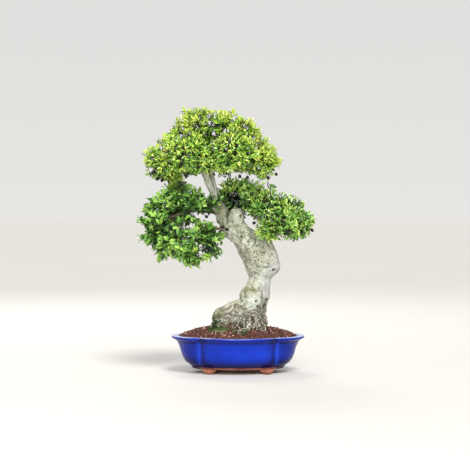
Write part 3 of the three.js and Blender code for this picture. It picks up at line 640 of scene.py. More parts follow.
def clay_material():
    m = Nodes("bare_clay").set(Specular_IOR_Level=0.3)
    tone = m.ramp(m.noise(46, 5, 0.62), (0.3, (112, 66, 54)), (0.5, (150, 92, 72)), (0.72, (184, 122, 98)))
    # painted shade on the foot rim
    shaded_clay = m.mix(m.attribute("clay_shade"), tone, (52, 34, 36))
    m.colour(shaded_clay).rough(m.noise(120, 3), 0.72, 0.9)
    return m.bump(m.noise(700, 4, 0.7), 0.35, 0.0006).material


def soil_material():
    m = Nodes("soil_granules").set(Specular_IOR_Level=0.25)
    grain = m.ramp(
        m.attribute("tone"), (0.0, (24, 14, 14)), (0.22, (50, 29, 26)), (0.5, (84, 50, 43)),
        (0.74, (114, 72, 62)), (0.87, (150, 106, 90)), (1.0, (214, 186, 170)),
    )
    dusted = m.mix(m.maths("MULTIPLY", m.noise(900, 3), 0.2), grain, (140, 104, 92))
    m.colour(dusted).rough(m.noise(300, 2), 0.82, 0.98)
    return m.bump(m.noise(1300, 3, 0.7), 0.6, 0.0006).material


def bark_material():
    m = Nodes("myrtle_bark").set(Specular_IOR_Level=0.2)
    base = m.ramp(
        m.noise(48, 5, 0.62, 0.8), (0.28, (138, 142, 120)), (0.42, (174, 177, 157)), (0.56, (200, 202, 186)),
        (0.74, (218, 220, 207)),
    )
    streaks = m.ramp(m.noise(120, 3, stretch=(1, 1, 0.08)), (0.42, (166, 166, 166)), (0.6, (198, 198, 192)))
    ragged = m.ramp(m.noise(130, 4, 0.65), (0.36, 0.15), (0.6, 1.0))
    tan_spots = m.ramp(m.noise(64, 4, 0.7, 0.5), (0.54, 0.0), (0.68, 0.6))
    mottling = m.ramp(m.noise(165, 4, 0.7, 0.4), (0.5, 0.0), (0.6, 0.6))
    lichen = m.ramp(m.noise(210, 3, 0.62), (0.54, 0.0), (0.64, 0.6))
    specks = m.ramp(m.noise(360, 3, 0.66), (0.53, 0.0), (0.62, 1.0))
    crackle = m.ramp(m.noise(250, 4, 0.7, 0.6), (0.48, 0.0), (0.57, 1.0))
    # Each layer lies over those before it: its pattern, the attribute that says where it is, and its colour.
    layers = (
        (tan_spots, "speckle", (176, 160, 126)),
        # algae, and painted shade on the shoulder
        (ragged, "algae_and_shade", (122, 132, 104)),
        (mottling, "speckle", (118, 122, 98)),
        (lichen, None, (222, 226, 212)),
        (specks, "speckle", (72, 74, 58)),
        # painted shade in the hollows
        (None, "cavity_shade", (82, 80, 62)),
        (ragged, "pale", (216, 226, 212)),
        (ragged, "olive", (104, 100, 56)),
        (ragged, "purple", (150, 140, 164)),
        (ragged, "pink", (184, 170, 172)),
        (crackle, "brown", (78, 72, 46)),
        (ragged, "green", (74, 92, 46)),
        # painted shade in cracks, holes and hollows
        (None, "recess_shade", (30, 24, 18)),
        (None, "young", (92, 78, 60)),
    )
    shown = m.mix(m.attribute("smoothwood"), base, streaks)
    for pattern, attribute, colour in layers:
        if pattern and attribute:
            mask = m.maths("MULTIPLY", pattern, m.attribute(attribute))
        else:
            mask = pattern or m.attribute(attribute)
        shown = m.mix(mask, shown, colour)
    m.colour(shown).rough(m.noise(200, 2), 0.8, 0.96)
    fibres = m.maths("MULTIPLY", m.noise(150, 3, stretch=(1, 1, 0.4)), 0.9)
    return m.bump(m.maths("ADD", m.noise(420, 4, 0.7), fibres), 0.7, 0.0014).material


def root_material():
    m = Nodes("pale_roots").set(Specular_IOR_Level=0.2)
    tone = m.ramp(m.noise(150, 4), (0.3, (112, 106, 88)), (0.5, (180, 176, 160)), (0.66, (238, 238, 230)))
    aged = m.mix(m.attribute("tone"), tone, (84, 68, 52))
    m.colour(aged).rough(m.noise(200, 2), 0.75, 0.92)
    return m.bump(m.noise(600, 3, 0.7), 0.5, 0.0006).material


def twig_material():
    m = Nodes("twigs").set(Specular_IOR_Level=0.3)
    tone = m.ramp(m.noise(260, 3), (0.3, (46, 42, 28)), (0.7, (96, 86, 60)))
    fresh = m.mix(m.attribute("young"), tone, (82, 100, 42))
    shaded = m.mix(m.attribute("shade"), fresh, (16, 28, 18))
    m.colour(shaded).rough(m.noise(300, 2), 0.6, 0.85)
    return m.bump(m.noise(900, 2), 0.3, 0.0003).material


def leaf_material(kind):
    """Leaves between green and gold, lighter towards the sunlit tips."""
    roughness, specular = LEAF_GLOSS[kind]
    m = Nodes(f"{kind}_leaves").set(Roughness=roughness, Specular_IOR_Level=specular)
    stops = (0.0, 0.2, 0.4, 0.6, 0.84, 0.92, 1.0)
    fresh = m.ramp(m.attribute("tone"), *zip(stops, GREENS[kind] + OLD_GREENS))
    ripe = m.ramp(m.attribute("tone"), *zip(stops, GOLDS + OLD_GOLDS))
    blade = m.mix(m.attribute("gold_and_sunlight"), fresh, ripe)
    lit = m.maths("MULTIPLY", m.attribute("tone"), 1.6, clamp=True)
    mottle = m.maths("MULTIPLY", m.ramp(m.noise(170, 3), (0.4, 0.0), (0.7, 0.2)), lit)
    mottled = m.mix(mottle, blade, GOLDS[3])
    rib = m.maths("MULTIPLY", m.maths("MULTIPLY", m.attribute("rib"), 0.24), lit)
    ribbed = m.mix(rib, mottled, (206, 222, 120))
    return m.colour(ribbed).bump(m.noise(800, 2), 0.15, 0.0003).material


def berry_material():
    m = Nodes("ripe_berries").set(Roughness=0.38, Specular_IOR_Level=0.3)
    skin = m.ramp(m.noise(210, 3), (0.3, (6, 5, 9)), (0.55, (13, 10, 18)), (0.8, (30, 26, 42)))
    stalked = m.mix(m.attribute("stalk"), skin, (120, 108, 50))
    return m.colour(stalked).bump(m.noise(700, 2), 0.15, 0.0003).material


def moss_material():
    m = Nodes("moss").set(Specular_IOR_Level=0.2)
    tone = m.ramp(
        m.attribute("tone"), (0.0, (26, 42, 22)), (0.4, (54, 80, 40)), (0.7, (98, 122, 68)),
        (1.0, (170, 178, 132)),
    )
    return m.colour(tone).rough(m.noise(400, 2), 0.8, 0.95).material


def screen_material():
    m = Nodes("screen_plastic")
    tone = m.ramp(m.noise(300, 2), (0.3, (30, 30, 32)), (0.7, (52, 52, 54)))
    m.colour(tone).rough(m.noise(200, 2), 0.45, 0.6)
    return m.bump(m.noise(1500, 2), 0.2, 0.0002).material


# Pot


def lobe(half, rise, steps):
    """Points along an arc over a chord, crowded towards its two ends and without the last one."""
    radius = (half * half + rise * rise) / (2 * rise)
    reach = math.asin(min(1.0, half / radius))
    middle = np.linspace(-0.87, 0.87, steps)
    share = np.concatenate([[-1, -0.988, -0.965, -0.925], middle, [0.925, 0.965, 0.988]])
    return radius * np.sin(reach * share), radius * np.cos(reach * share) - radius + rise


def notch(inset):
    """Where the corners between the lobes are at one inset from the rim's outer edge."""
    return NOTCH_X - NOTCH_X_TAPER * inset, NOTCH_Y - NOTCH_Y_TAPER * inset


def pot_plan(inset):
    """The pot's four-lobed plan at one inset from the rim's outer edge."""
    notch_x, notch_y = notch(inset)
    along, out = lobe(notch_y, POT_LENGTH / 2 - inset - notch_x, SHORT_LOBE_STEPS)
    across, forth = lobe(notch_x, POT_DEPTH / 2 - inset - notch_y, LONG_LOBE_STEPS)
    return np.concatenate([
        np.column_stack([notch_x + out, along]), np.column_stack([-across, notch_y + forth]),
        np.column_stack([-notch_x - out, -along]), np.column_stack([across, -notch_y - forth]),
    ])


def plan_ring(inset, z):
    plan = pot_plan(inset)
    return np.column_stack([plan, np.full(len(plan), z)])


def profile_curve(rows, spacing):
    """Rows of (inset, height), with smooth rows put in between them."""
    rows = np.asarray(rows, float)
    chord = np.append(0, np.cumsum(steps_between(rows)))
    at = []
    for start, end in zip(chord, chord[1:]):
        at.append(np.linspace(start, end, max(1, round((end - start) / spacing)), endpoint=False))
    return hermite(np.column_stack([chord, rows]), np.concatenate(at + [chord[-1:]]))


def inward(rows, by):
    """The same rows, moved square to the profile into the wall."""
    step = unit(np.gradient(rows, axis=0))
    return rows + np.column_stack([step[:, 1], -step[:, 0]]) * by


def cut(obj, cutters):
    """The object's mesh less the cutters, which are removed."""
    for cutter in cutters:
        modifier = obj.modifiers.new("cut", "BOOLEAN")
        modifier.operation, modifier.solver, modifier.object = "DIFFERENCE", "EXACT", cutter
    mesh = bpy.data.meshes.new_from_object(obj.evaluated_get(bpy.context.evaluated_depsgraph_get()))
    obj.modifiers.clear()
    obj.data = mesh
    for cutter in cutters:
        bpy.data.objects.remove(cutter)


def make_glaze(outside):
    """The glaze as a closed skin, carried round the plan."""
    skin = np.concatenate([outside, inward(outside, GLAZE_THICKNESS)[::-1]])
    rings = [plan_ring(inset, z) for inset, z in skin]
    points, count = np.concatenate(rings), len(rings[0])
    inset = np.repeat(skin[:, 0], count)
    x, y, z = points.T
    notch_x, notch_y = notch(inset)
    past_x, past_y = np.abs(x) - notch_x, np.abs(y) - notch_y
    corner, beside = np.hypot(past_x + 1, past_y), np.hypot(past_x - 6, past_y + 1)
    wall = (z < 78) & (z > 22)
    # Darker where the glaze pools, in the corners and at the foot, and painted shade there too, on the lower
    # wall, the lip's outer face, below the lip and on the short lobes.
    pool_and_shade = (
        0.36 * bell(corner, 6.5) + 0.42 * bell(corner, 16) * (past_x < 0) + 0.7 * bell(z - 18, 9)
        + 0.55 * clamp((46 - z) / 26) + 0.62 * bell(z - 85, 2.6) * (inset < 2)
        + 0.7 * bell(z - 78, 4.5) * (inset < 14) + 0.5 * clamp(past_x / 14) * wall
    )
    # painted highlight: a light strip on the short lobes beside each corner
    corner_highlight = 0.42 * bell(beside, 3.6) * wall
    # Paler on the lip's top and inside it, most of all at its two ends: worn glaze, with a painted highlight
    # along the lip's top.
    patchy = np.clip(0.75 + field(points, 26, 15.5) * 1.4, 0.2, 1)
    wear_and_highlight = patchy * (0.75 * bell(z - 89.1, 0.95) + 0.8 * ((inset > 8) & (z > 80)))
    wear_and_highlight = np.maximum(wear_and_highlight, 0.92 * clamp((np.abs(x) - 98) / 26) * clamp((z - 87.6) / 0.8))
    mesh_piece(
        "pot_glaze", points, [ring_faces(len(rings), count, closed=True)[:, ::-1]], glaze_material(),
        {"pool_and_shade": clamp(pool_and_shade), "corner_highlight": clamp(corner_highlight), "wear_and_highlight": clamp(wear_and_highlight)}, replaces=["pot"],
    )


def make_clay(outside, clay):
    """The body under the glaze, with its bare foot rim, its inside and the drain holes."""
    under = inward(outside, GLAZE_THICKNESS / 2)
    inside = profile_curve([tuple(under[-1] + [0.4, 0.2])] + CLAY_INSIDE, 6)[1:]
    rings = [plan_ring(inset, z) for inset, z in np.concatenate([CLAY_FOOT_RIM, under, inside])]
    count = len(rings[0])
    points = np.concatenate(rings + [np.array([[0, 0, UNDERSIDE], [0, 0, POT_FLOOR]])])
    faces = [ring_faces(len(rings), count), end_fans(len(rings), count)]
    # painted shade: the foot rim darker towards its two ends, and a little all along
    clay_shade = np.clip((np.abs(points[:, 0]) - 84) / 14, 0.18, 0.85) * (np.abs(points[:, 1]) < 80)
    pot = mesh_piece("pot_clay", points, faces, clay, {"clay_shade": clay_shade}, replaces=["pot"])
    drills = []
    for side in (-1, 1):
        path = np.array([[[side * DRAIN_X, 0, 2.0], [side * DRAIN_X, 0, 30.0]]])
        points, faces, _ = tubes(path, np.full((1, 2), DRAIN_RADIUS), 40)
        drills.append(mesh_piece(f"drill_{side}", points, faces, clay))
    cut(pot, drills)
    pot.data.shade_smooth()
    pot.data.set_sharp_from_angle(angle=math.radians(40))


def make_feet(clay):
    """Four cloud feet, each a knob between two smaller ones."""
    parts = []
    for side_x in (-1, 1):
        for side_y in (-1, 1):
            for beside, rows in ((0, FOOT_MIDDLE), (-FOOT_SIDE_X, FOOT_SIDE), (FOOT_SIDE_X, FOOT_SIDE)):
                points, faces = lathe(rows, 20, rows[0][1], rows[-1][1])
                parts.append((points + [side_x * FOOT_X + beside, side_y * FOOT_Y, 0], faces))
    points, faces, _ = remeshed("feet", *joined(parts), 1.2, 2)
    points[:, 2] = np.maximum(points[:, 2] - points[:, 2].min(), 0)
    mesh_piece("pot_feet", points, faces, clay, {"clay_shade": np.zeros(len(points))}, replaces=["pot"])


def make_pot():
    outside = profile_curve(GLAZE_OUTSIDE, 2.2)
    make_glaze(outside)
    clay = clay_material()
    make_clay(outside, clay)
    make_feet(clay)


# Trunk


def body_skin():
    """The trunk's body as rings, with its swellings."""
    levels = np.column_stack([TRUNK_LEVELS, np.arange(len(TRUNK_LEVELS))])
    heights = np.linspace(BODY_BOTTOM, BODY_TOP, 150)
    angle = full_turn(96)
    sine = np.sin(angle)
    rings = []
    for z, (left, right, middle_y, half_depth, level) in zip(heights, hermite(levels, heights)):
        flute = 1 + 0.07 * sine * sine * np.sin(3 * angle + level * 0.55)
        across, along = (right - left) / 2 * np.cos(angle) * flute, half_depth * sine * flute
        out = np.column_stack([across, along, np.zeros(len(angle))])
        ring = out + [(left + right) / 2, middle_y, z]
        for *middle, reach, height in BURLS:
            away = np.linalg.norm(ring - middle, axis=1)
            ring = ring + unit(out) * (height * bell(away, reach))[:, None]
        rings.append(ring)
    hubs = np.array([rings[0].mean(0), rings[-1].mean(0)])
    faces = [ring_faces(len(rings), len(angle)), end_fans(len(rings), len(angle))]
    return np.concatenate(rings + [hubs]), faces


def wood_skin():
    """One skin round the body and the limbs, and rows of (x, y, z, radius) along the limbs."""
    rows = [along_path(path, max(8, len(path) * 7)) for path in LIMBS]
    limbs = [tubes(row[None, :, :3], row[None, :, 3], 18)[:2] for row in rows]
    points, faces, normal = remeshed("wood", *joined([body_skin()] + limbs), 1.6, 7)
    return points, faces, normal, np.concatenate(rows)


def wood_thickness(points, axis):
    """The radius of the wood at each point: the body's, or that of the limb that the point lies on."""
    thick = np.full(len(points), BODY_RADIUS)
    nearest = np.full(len(points), 1e9)
    for x, y, z, radius in axis:
        away = np.abs(np.linalg.norm(points - [x, y, z], axis=1) - radius)
        take = (away < 2.8) & (away < nearest)
        nearest[take] = away[take]
        thick[take] = radius
    # Thick limbs below the heads are sunk in the body.
    thick[(points[:, 2] < 332) & (thick > 9)] = BODY_RADIUS
    return thick


def seams(points, scale, seed, stretch):
    """Thin lines where the noise crosses 0."""
    return clamp(1 - 8 * np.abs(field(points, scale, seed, stretch)))


def creases(points):
    return clamp(field(points, 4.2, 41.3) * 2.4)


def bark_regions(points, normal, thick):
    """Where each kind of bark is. x, y and z stay those of the smooth skin when the bark is raised."""
    x, y, z = points.T
    at = SimpleNamespace(points=points, x=x, y=y, z=z, thick=thick)
    at.front = clamp(-normal[:, 1] * 2.2)
    at.root = clamp((152 - z) / 20)
    at.head = clamp((z - 346) / 10) * clamp((412 - z) / 12)
    # the old scar on the knee, and the smooth wood of the right side
    at.knee = at.front * (y < -10)
    at.from_scar = np.hypot((x - 33.5) / 1.05, z - 168.5)
    at.scar = at.knee * bell(at.from_scar, 15.5, 4)
    below_edge = clamp((255 + 0.12 * (x - 66) - z) / 5 + 0.5)
    waist, flank = (spots(points, SPOTS[name]) for name in ("bare_waist", "bare_flank"))
    at.bare = clamp(waist * below_edge + flank + at.scar)
    at.strength = np.clip(thick / 22, 0.1, 1)
    at.rough = at.strength * (1 - 0.82 * at.bare)
    # noise, coarse to fine, and wrinkles
    at.warp = 8 * np.column_stack([field(points, 36, 9), field(points, 36, 17), 0 * x])
    at.ridges = field(points + at.warp, 8.5, 5.7, (1, 1, 0.45))
    at.knobs = field(points + at.warp * 0.5, 5.0, 61.3)
    at.fine = field(points, 2.9, 11.3)
    upright = seams(points + at.warp, 15, 7.7, (1, 1, 0.6)) * at.rough
    level = seams(points + at.warp, 11, 37.7, (0.45, 1, 1.5)) * at.root * at.strength
    at.wrinkle = np.maximum(upright * 0.6, level)
    # rings of bark over the scar
    from_middle = np.hypot(x - 33, (z - 172) * 0.88)
    at.bands = np.sin(from_middle * 0.95 + 1.6 * field(points, 13, 81.1))
    broken = clamp(0.35 + field(points, 9, 27.1) * 1.6)
    at.banded = at.knee * bell(from_middle - 25, 6) * clamp((z - 168) / 14) * broken
    return at


def mark_cracks(at):
    """Adds to the regions where the cracks and the holes of old branches are."""
    x, z, front = at.x, at.z, at.front
    # a bark edge across the front, the split up the leader and the groove between the heads
    at.edge = front * bell(z - 253 - 0.12 * (x - 66), 1.6) * bell(x - 68, 10)
    split_x = np.interp(z, [437, 459, 481], [-55, -62, -69])
    at.split = front * bell(x - split_x, 1.5) * clamp((z - 432) / 6) * clamp((490 - z) / 6)
    at.groove = front * bell(x + 24 - 0.06 * (z - 380), 2.6) * clamp((z - 352) / 8)
    # clefts at the knee's right
    at.cleft = clamp(front * (
        bell(x - 70, 3.2) * bell(z - 174, 4) + bell(x - 64 - 0.1 * (z - 160), 2.3) * bell(z - 159, 9)
        + 0.7 * bell(x - 58, 2.0) * bell(z - 186, 12)
    ))
    # hollows behind the curly roots, sunk and given painted shade
    at.tangle = front * clamp(spots(at.points, SPOTS["tangle"]))
    at.holes = np.zeros(len(x))
    for hole_x, hole_z, reach, _ in HOLES:
        at.holes = np.maximum(at.holes, front * bell(np.hypot(x - hole_x, z - hole_z), reach))


def bark_lift(at):
    """How far the bark stands out over the smooth skin."""
    points, warped = at.points, at.points + at.warp
    lift = 2.0 * field(points, 24, 3.1) * at.strength
    lift += (2.0 * at.ridges + 1.5 * at.knobs + 1.0 * at.fine) * at.rough
    lift += at.head * at.strength * (1.8 * field(warped, 10, 55.5) + 1.0 * at.knobs)
    lift += at.root * at.strength * (2.2 * field(warped, 12, 71.9, (0.6, 1, 1.3)) + 1.5 * at.knobs)
    # a ridge and the hollow below it on the left root
    lift += spots(points, SPOTS["raised_root"])
    # the scar's rim, its hollow and the rings
    lift += at.knee * (1.6 * bell(at.from_scar - 16.5, 2.8) - 1.0 * bell(at.from_scar, 12, 4))
    lift += 1.1 * at.bands * at.banded - 1.3 * at.wrinkle
    for hole_x, hole_z, reach, depth in HOLES:
        lift -= depth * at.front * bell(np.hypot(at.x - hole_x, at.z - hole_z), reach)
    lift -= 1.6 * at.edge + 1.6 * at.split + 2.4 * at.groove * (at.y < 0)
    return lift - 4.0 * at.cleft - 2.6 * at.tangle * creases(points)


def bark_colours(at):
    """How much of each colour is at each point."""
    points, x, z, root = at.points, at.x, at.z, at.root
    # painted shade in the bark's hollows, the rings' troughs and the wrinkles
    cavity_shade = np.clip(-(0.55 * at.ridges + 0.5 * at.knobs + 0.5 * at.fine) * 1.5 - 0.12, 0, 0.85) * at.rough
    cavity_shade = cavity_shade + 0.5 * clamp(-at.bands) * at.banded + 0.75 * at.wrinkle + 0.6 * cavity_shade * root
    spot = {name: spots(points, rows) for name, rows in SPOTS.items()}
    speckle = 0.35 + 0.5 * root + 0.5 * root * (x < 14) + spot["speckle"]
    pale = at.scar + spot["pale_root"] + at.front * spot["pale_front"] + spot["pale"]
    over_scar = bell(z - 201 + 0.02 * (x - 26) ** 2, 2.2) * (x < 46)
    olive = 0.8 * at.knee * (over_scar + spot["olive_knee"]) + spot["olive"]
    olive = olive + 0.5 * at.banded + 0.3 * patches(points, 30, 51.7) * (z > 110)
    # algae on the roots and the heads, and painted shade from the spots
    algae_and_shade = 0.95 * root + 0.6 * at.head * (x < 26) + 0.5 * patches(points, 26, 91.3) + spot["algae_and_shade"]
    pink = spot["pink"] + 0.3 * patches(points, 22, 33.3) * root
    # painted shade in the root's hollows, and below in the split, holes, bark edge, groove, clefts and
    # behind the curly roots
    hollow_shade = clamp(field(points, 7.5, 18.4, (0.7, 1, 1.2)) * 2.6 - 0.3) * root * (1 - at.tangle)
    recess_shade = (
        0.5 * hollow_shade + 0.75 * at.split + 1.4 * at.holes + 0.85 * at.edge + 0.8 * at.groove + 0.95 * at.cleft
        + 0.95 * at.tangle * (0.7 + 0.3 * creases(points))
    )
    # The left root is streaked with brown, most of all along its upper edge.
    streaks = np.clip(0.4 + field(points + at.warp, 14, 44.1) * 2.4 + spot["brown"], 0, 0.95)
    brown = np.maximum(root * (x < 14) * streaks, 0.9 * spot["brown_ridge"]) * (1 - 0.8 * spot["pale_root"])
    return {
        "speckle": clamp(speckle) * (1 - 0.85 * at.bare) * np.clip(at.thick / 12, 0.3, 1),
        "cavity_shade": clamp(cavity_shade), "pale": clamp(pale), "smoothwood": clamp(at.bare - at.scar),
        "olive": np.maximum(clamp(olive), 0.95 * spot["brown_ridge"]), "algae_and_shade": clamp(algae_and_shade),
        "purple": clamp(spot["purple"]), "pink": clamp(pink), "green": clamp(spot["green"]),
        "recess_shade": clamp(recess_shade), "brown": brown, "young": np.clip((6 - at.thick) / 2.6, 0, 0.9),
    }


def make_trunk():
    """The bark. Gives it as a tree for near places and rays, and the rows along the limbs."""
    points, faces, normal, axis = wood_skin()
    at = bark_regions(points, normal, wood_thickness(points, axis))
    mark_cracks(at)
    at.points = points + normal * bark_lift(at)[:, None]
    mesh_piece(
        "trunk_bark", at.points, faces, bark_material(), bark_colours(at), replaces=["trunk"],
    )
    corners = [tuple(int(i) for i in f) for group in faces for f in group]
    return BVHTree.FromPolygons([Vector(p) for p in at.points], corners), axis


def seen_bark(trunk, x, z):
    """The place on the bark that the front shows at x and z, if there is one."""
    return trunk.ray_cast(Vector((x, RAY_START, z)), Vector((0, 1, 0)))[0]


# Soil, roots and moss


def edge_radius(inset):
    """Distance from the pot's middle to its plan, as angles and radii."""
    plan = pot_plan(inset)
    angle = np.arctan2(plan[:, 1], plan[:, 0])
    order = np.argsort(angle)
    angle, reach = angle[order], np.hypot(*plan[order].T)
    return np.concatenate([angle - 2 * math.pi, angle, angle + 2 * math.pi]), np.tile(reach, 3)


EDGE = edge_radius(SOIL_INSET)


def soil_share(x, y):
    """0 in the pot's middle and 1 at the soil's edge."""
    return np.hypot(x, y) / np.interp(np.arctan2(y, x), *EDGE)


def soil_height(x, y):
    return SOIL_RIM + SOIL_HEAP * (1 - clamp(soil_share(x, y)) ** 3.5)


def random_turns(n):
    """Rotation matrices, one for each granule."""
    w, x, y, z = unit(rng.normal(size=(n, 4))).T
    return np.stack([
        1 - 2 * (y * y + z * z), 2 * (x * y - z * w), 2 * (x * z + y * w),
        2 * (x * y + z * w), 1 - 2 * (x * x + z * z), 2 * (y * z - x * w),
        2 * (x * z - y * w), 2 * (y * z + x * w), 1 - 2 * (x * x + y * y),
    ], -1).reshape(n, 3, 3)


def icosahedron():
    g = (1 + math.sqrt(5)) / 2
    points = unit(np.array([
        (-1, g, 0), (1, g, 0), (-1, -g, 0), (1, -g, 0), (0, -1, g), (0, 1, g), (0, -1, -g), (0, 1, -g),
        (g, 0, -1), (g, 0, 1), (-g, 0, -1), (-g, 0, 1),
    ], float))
    faces = np.array([
        (0, 11, 5), (0, 5, 1), (0, 1, 7), (0, 7, 10), (0, 10, 11), (1, 5, 9), (5, 11, 4), (11, 10, 2),
        (10, 7, 6), (7, 1, 8), (3, 9, 4), (3, 4, 2), (3, 2, 6), (3, 6, 8), (3, 8, 9), (4, 9, 5), (2, 4, 11),
        (6, 2, 10), (8, 6, 7), (9, 8, 1),
    ])
    return points, faces


def copies(faces, count, points_each):
    """The faces of one small shape, repeated for count shapes."""
    return (faces[None] + (np.arange(count) * points_each)[:, None, None]).reshape(-1, faces.shape[1])


def make_soil_bed(material):
    """The heap that the granules lie on."""
    rings = [plan_ring(inset, z) for inset, z in SOIL_BELOW]
    edge = pot_plan(SOIL_INSET)
    for share in SOIL_SHARES:
        flat = edge * share
        # The outermost ring lies 1 mm lower, against the pot.
        z = soil_height(*flat.T) - (0 if share < 1 else 1.0)
        rings.append(np.column_stack([flat, z + 0.9 * field(np.column_stack([flat, z]), 5, 2.2)]))
    points = np.concatenate(rings + [np.array([[0, 0, SOIL_BELOW[0][1]], [0, 0, SOIL_RIM + SOIL_HEAP]])])
    mesh_piece(
        "soil_bed", points, [ring_faces(len(rings), len(edge)), end_fans(len(rings), len(edge))], material,
        {"tone": 0.2 + 0.5 * rng.random(len(points))}, replaces=["soil"],
    )


def granule_layer(pitch, smallest, largest, lift, kept):
    """Rows of (x, y, z, size) for one layer of granules."""
    across, along = np.meshgrid(*(np.arange(-reach, reach, pitch) for reach in (GRANULES_X, GRANULES_Y)))
    flat = np.column_stack([across.ravel(), along.ravel()])
    flat = flat + rng.uniform(-0.48, 0.48, flat.shape) * pitch
    size = rng.uniform(smallest, largest, len(flat)) * (1 + 0.35 * (rng.random(len(flat)) > 0.93))
    keep = soil_share(*flat.T) < 1 - (size * 0.75) / 110
    if kept < 1:
        keep &= rng.random(len(flat)) < kept
    flat, size = flat[keep], size[keep]
    z = soil_height(*flat.T) + lift + rng.uniform(-0.5, 1.0, len(flat))
    return np.column_stack([flat, z, size])


def clear_of_wood(trunk, place):
    where, normal, _, away = trunk.find_nearest(Vector(place))
    return (Vector(place) - where).dot(normal) >= 0 or away < 0.8


def make_granules(trunk, material):
    """Angular granules: a fine layer, some larger lumps, and some that lie on the roots' flanks."""
    rows = np.concatenate([granule_layer(*layer) for layer in GRANULE_LAYERS])
    rows = rows[[clear_of_wood(trunk, place) for place in rows[:, :3]]]
    tone = np.clip(rng.normal(0.43, 0.26, len(rows)), 0, 0.84)
    light = rng.random(len(rows)) < 0.05
    tone[light] = rng.uniform(0.85, 1.0, light.sum())
    for _ in range(FLANK_GRANULES):
        x, z = rng.uniform(*FLANK_X), rng.uniform(*FLANK_Z)
        hit = seen_bark(trunk, x, z)
        if hit is None or noise.noise(Vector((x / 9, 4.4, z / 5))) < 0.02 - 0.03 * (118 - z):
            continue
        rows = np.concatenate([rows, [[*hit, rng.uniform(1.0, 2.1)]]])
        tone = np.append(tone, 0.9 if rng.random() < 0.12 else rng.uniform(0.15, 0.6))
    base, faces = icosahedron()
    n, corners = len(rows), len(base)
    shape = base[None] * (1 + rng.uniform(-0.22, 0.16, (n, corners, 1))) * rng.uniform(0.72, 1.18, (n, 1, 3))
    points = np.einsum("nij,nkj->nki", random_turns(n), shape) * rows[:, 3, None, None] + rows[:, None, :3]
    mesh_piece(
        "soil_granules", points.reshape(-1, 3), [copies(faces, n, corners)], material,
        {"tone": np.repeat(tone, corners)}, smooth=False, replaces=["soil"],
    )


def make_soil(trunk):
    material = soil_material()
    make_soil_bed(material)
    make_granules(trunk, material)


def root_path(trunk, start, thickness, draw):
    """Places along a little root that winds down over the bark."""
    place, path = np.array(start), []
    turn, bend, stand = draw.uniform(-2.2, -0.9), draw.uniform(-0.5, 0.5), draw.uniform(0.4, 2.6)
    for i in range(14):
        path.append(place)
        turn += bend + draw.normal() * 0.32
        turn += 0.14 * (-math.pi / 2 - turn)
        place = place + np.array([math.cos(turn), -0.3, math.sin(turn)]) * 3.0
        where, normal, _, _ = trunk.find_nearest(Vector(place))
        off_bark = thickness * 0.7 + stand * math.sin(math.pi * min(1, (i + 1) / 9))
        place = np.array(where + normal * off_bark)
        if place[2] < soil_height(place[0], place[1]) - 2:
            break
    return path


def make_roots(trunk):
    """Curly little roots that cling to the root flare and run down into the soil."""
    draw = np.random.default_rng(ROOT_SEED)
    starts = []
    for count, span_x, span_z, size in ROOT_STARTS:
        starts += [(draw.uniform(*span_x), draw.uniform(*span_z), size) for _ in range(count)]
    paths, radii, tones = [], [], []
    for x, z, size in starts:
        if x > 10 and z > 153 - 0.5 * abs(x - 56):
            continue
        thickness = size * draw.uniform(0.45, 1.25)
        hit = seen_bark(trunk, x, z)
        if hit is None:
            continue
        path = root_path(trunk, hit, thickness, draw)
        if len(path) < 4:
            continue
        paths.append(along_path(path, 16))
        radii.append(thickness * np.linspace(1, 0.6, 16))
        tones.append(draw.choice([0.0, 0.25, 0.6, 1.0], p=[0.34, 0.17, 0.22, 0.27]))
    points, faces, step = tubes(np.array(paths), np.array(radii), 6)
    mesh_piece(
        "surface_roots", points, faces, root_material(), {"tone": np.repeat(tones, step)},
        replaces=["trunk"],
    )


def moss_blade(trunk, middle, reach, shade):
    """One blade of a cushion: its root, way, length and tone. None where the cushion has a gap."""
    x, y = middle[0] + rng.normal() * reach * 0.6, middle[1] + rng.normal() * reach * 0.5
    z = middle[2] + rng.normal() * 5
    where, normal, _, away = trunk.find_nearest(Vector((x, y, z)))
    ground = soil_height(x, y) + 1.2
    if away < 8 and where.z > ground - 1:
        root, way = np.array(where), np.array(normal)
    else:
        root, way = np.array([x, y, ground + 0.4]), np.array([0.0, 0, 1])
    patch = noise.noise(Vector(root / 5.0))
    if patch < -0.2:
        return None
    root = root - way * 0.4
    way = unit(way + rng.normal(size=3) * 0.42 + [0, 0, 0.25])
    length = rng.uniform(1.8, 3.8) * (1 + 0.5 * patch)
    return root, way, length, clamp(shade + 0.5 * patch + rng.normal() * 0.14)


def make_moss(trunk):
    """Cushions of moss: short pointed blades on the soil and the bark."""
    made = []
    for *middle, reach, share, shade in MOSS:
        made += [moss_blade(trunk, middle, reach, shade) for _ in range(int(6 * reach * reach * share))]
    roots, ways, sizes, tones = map(np.array, zip(*[blade for blade in made if blade]))
    n = len(roots)
    side = unit(np.cross(ways, rng.normal(size=(n, 3))))
    other = np.cross(ways, side)
    corners = [
        roots + (side * math.cos(turn) + other * math.sin(turn)) * sizes[:, None] * 0.22
        for turn in (0, 2.094, 4.189)
    ]
    points = np.stack(corners + [roots + ways * sizes[:, None]], 1).reshape(-1, 3)
    faces = copies(np.array([(0, 2, 1), (0, 1, 3), (1, 2, 3), (2, 0, 3)]), n, 4)
    tone = {"tone": np.repeat(tones, 4)}
    mesh_piece("moss_cushions", points, [faces], moss_material(), tone, smooth=False)


# Foliage


def flecks(count):
    """Small openings at random places of the crown."""
    at = np.column_stack([rng.uniform(-210, 84, 400), np.zeros(400), rng.uniform(484, 622, 400)])
    at = at[canopy_depth(at) > 9][:count]
    return np.column_stack([at[:, 0], at[:, 2], rng.uniform(4.6, 6.8, len(at))])


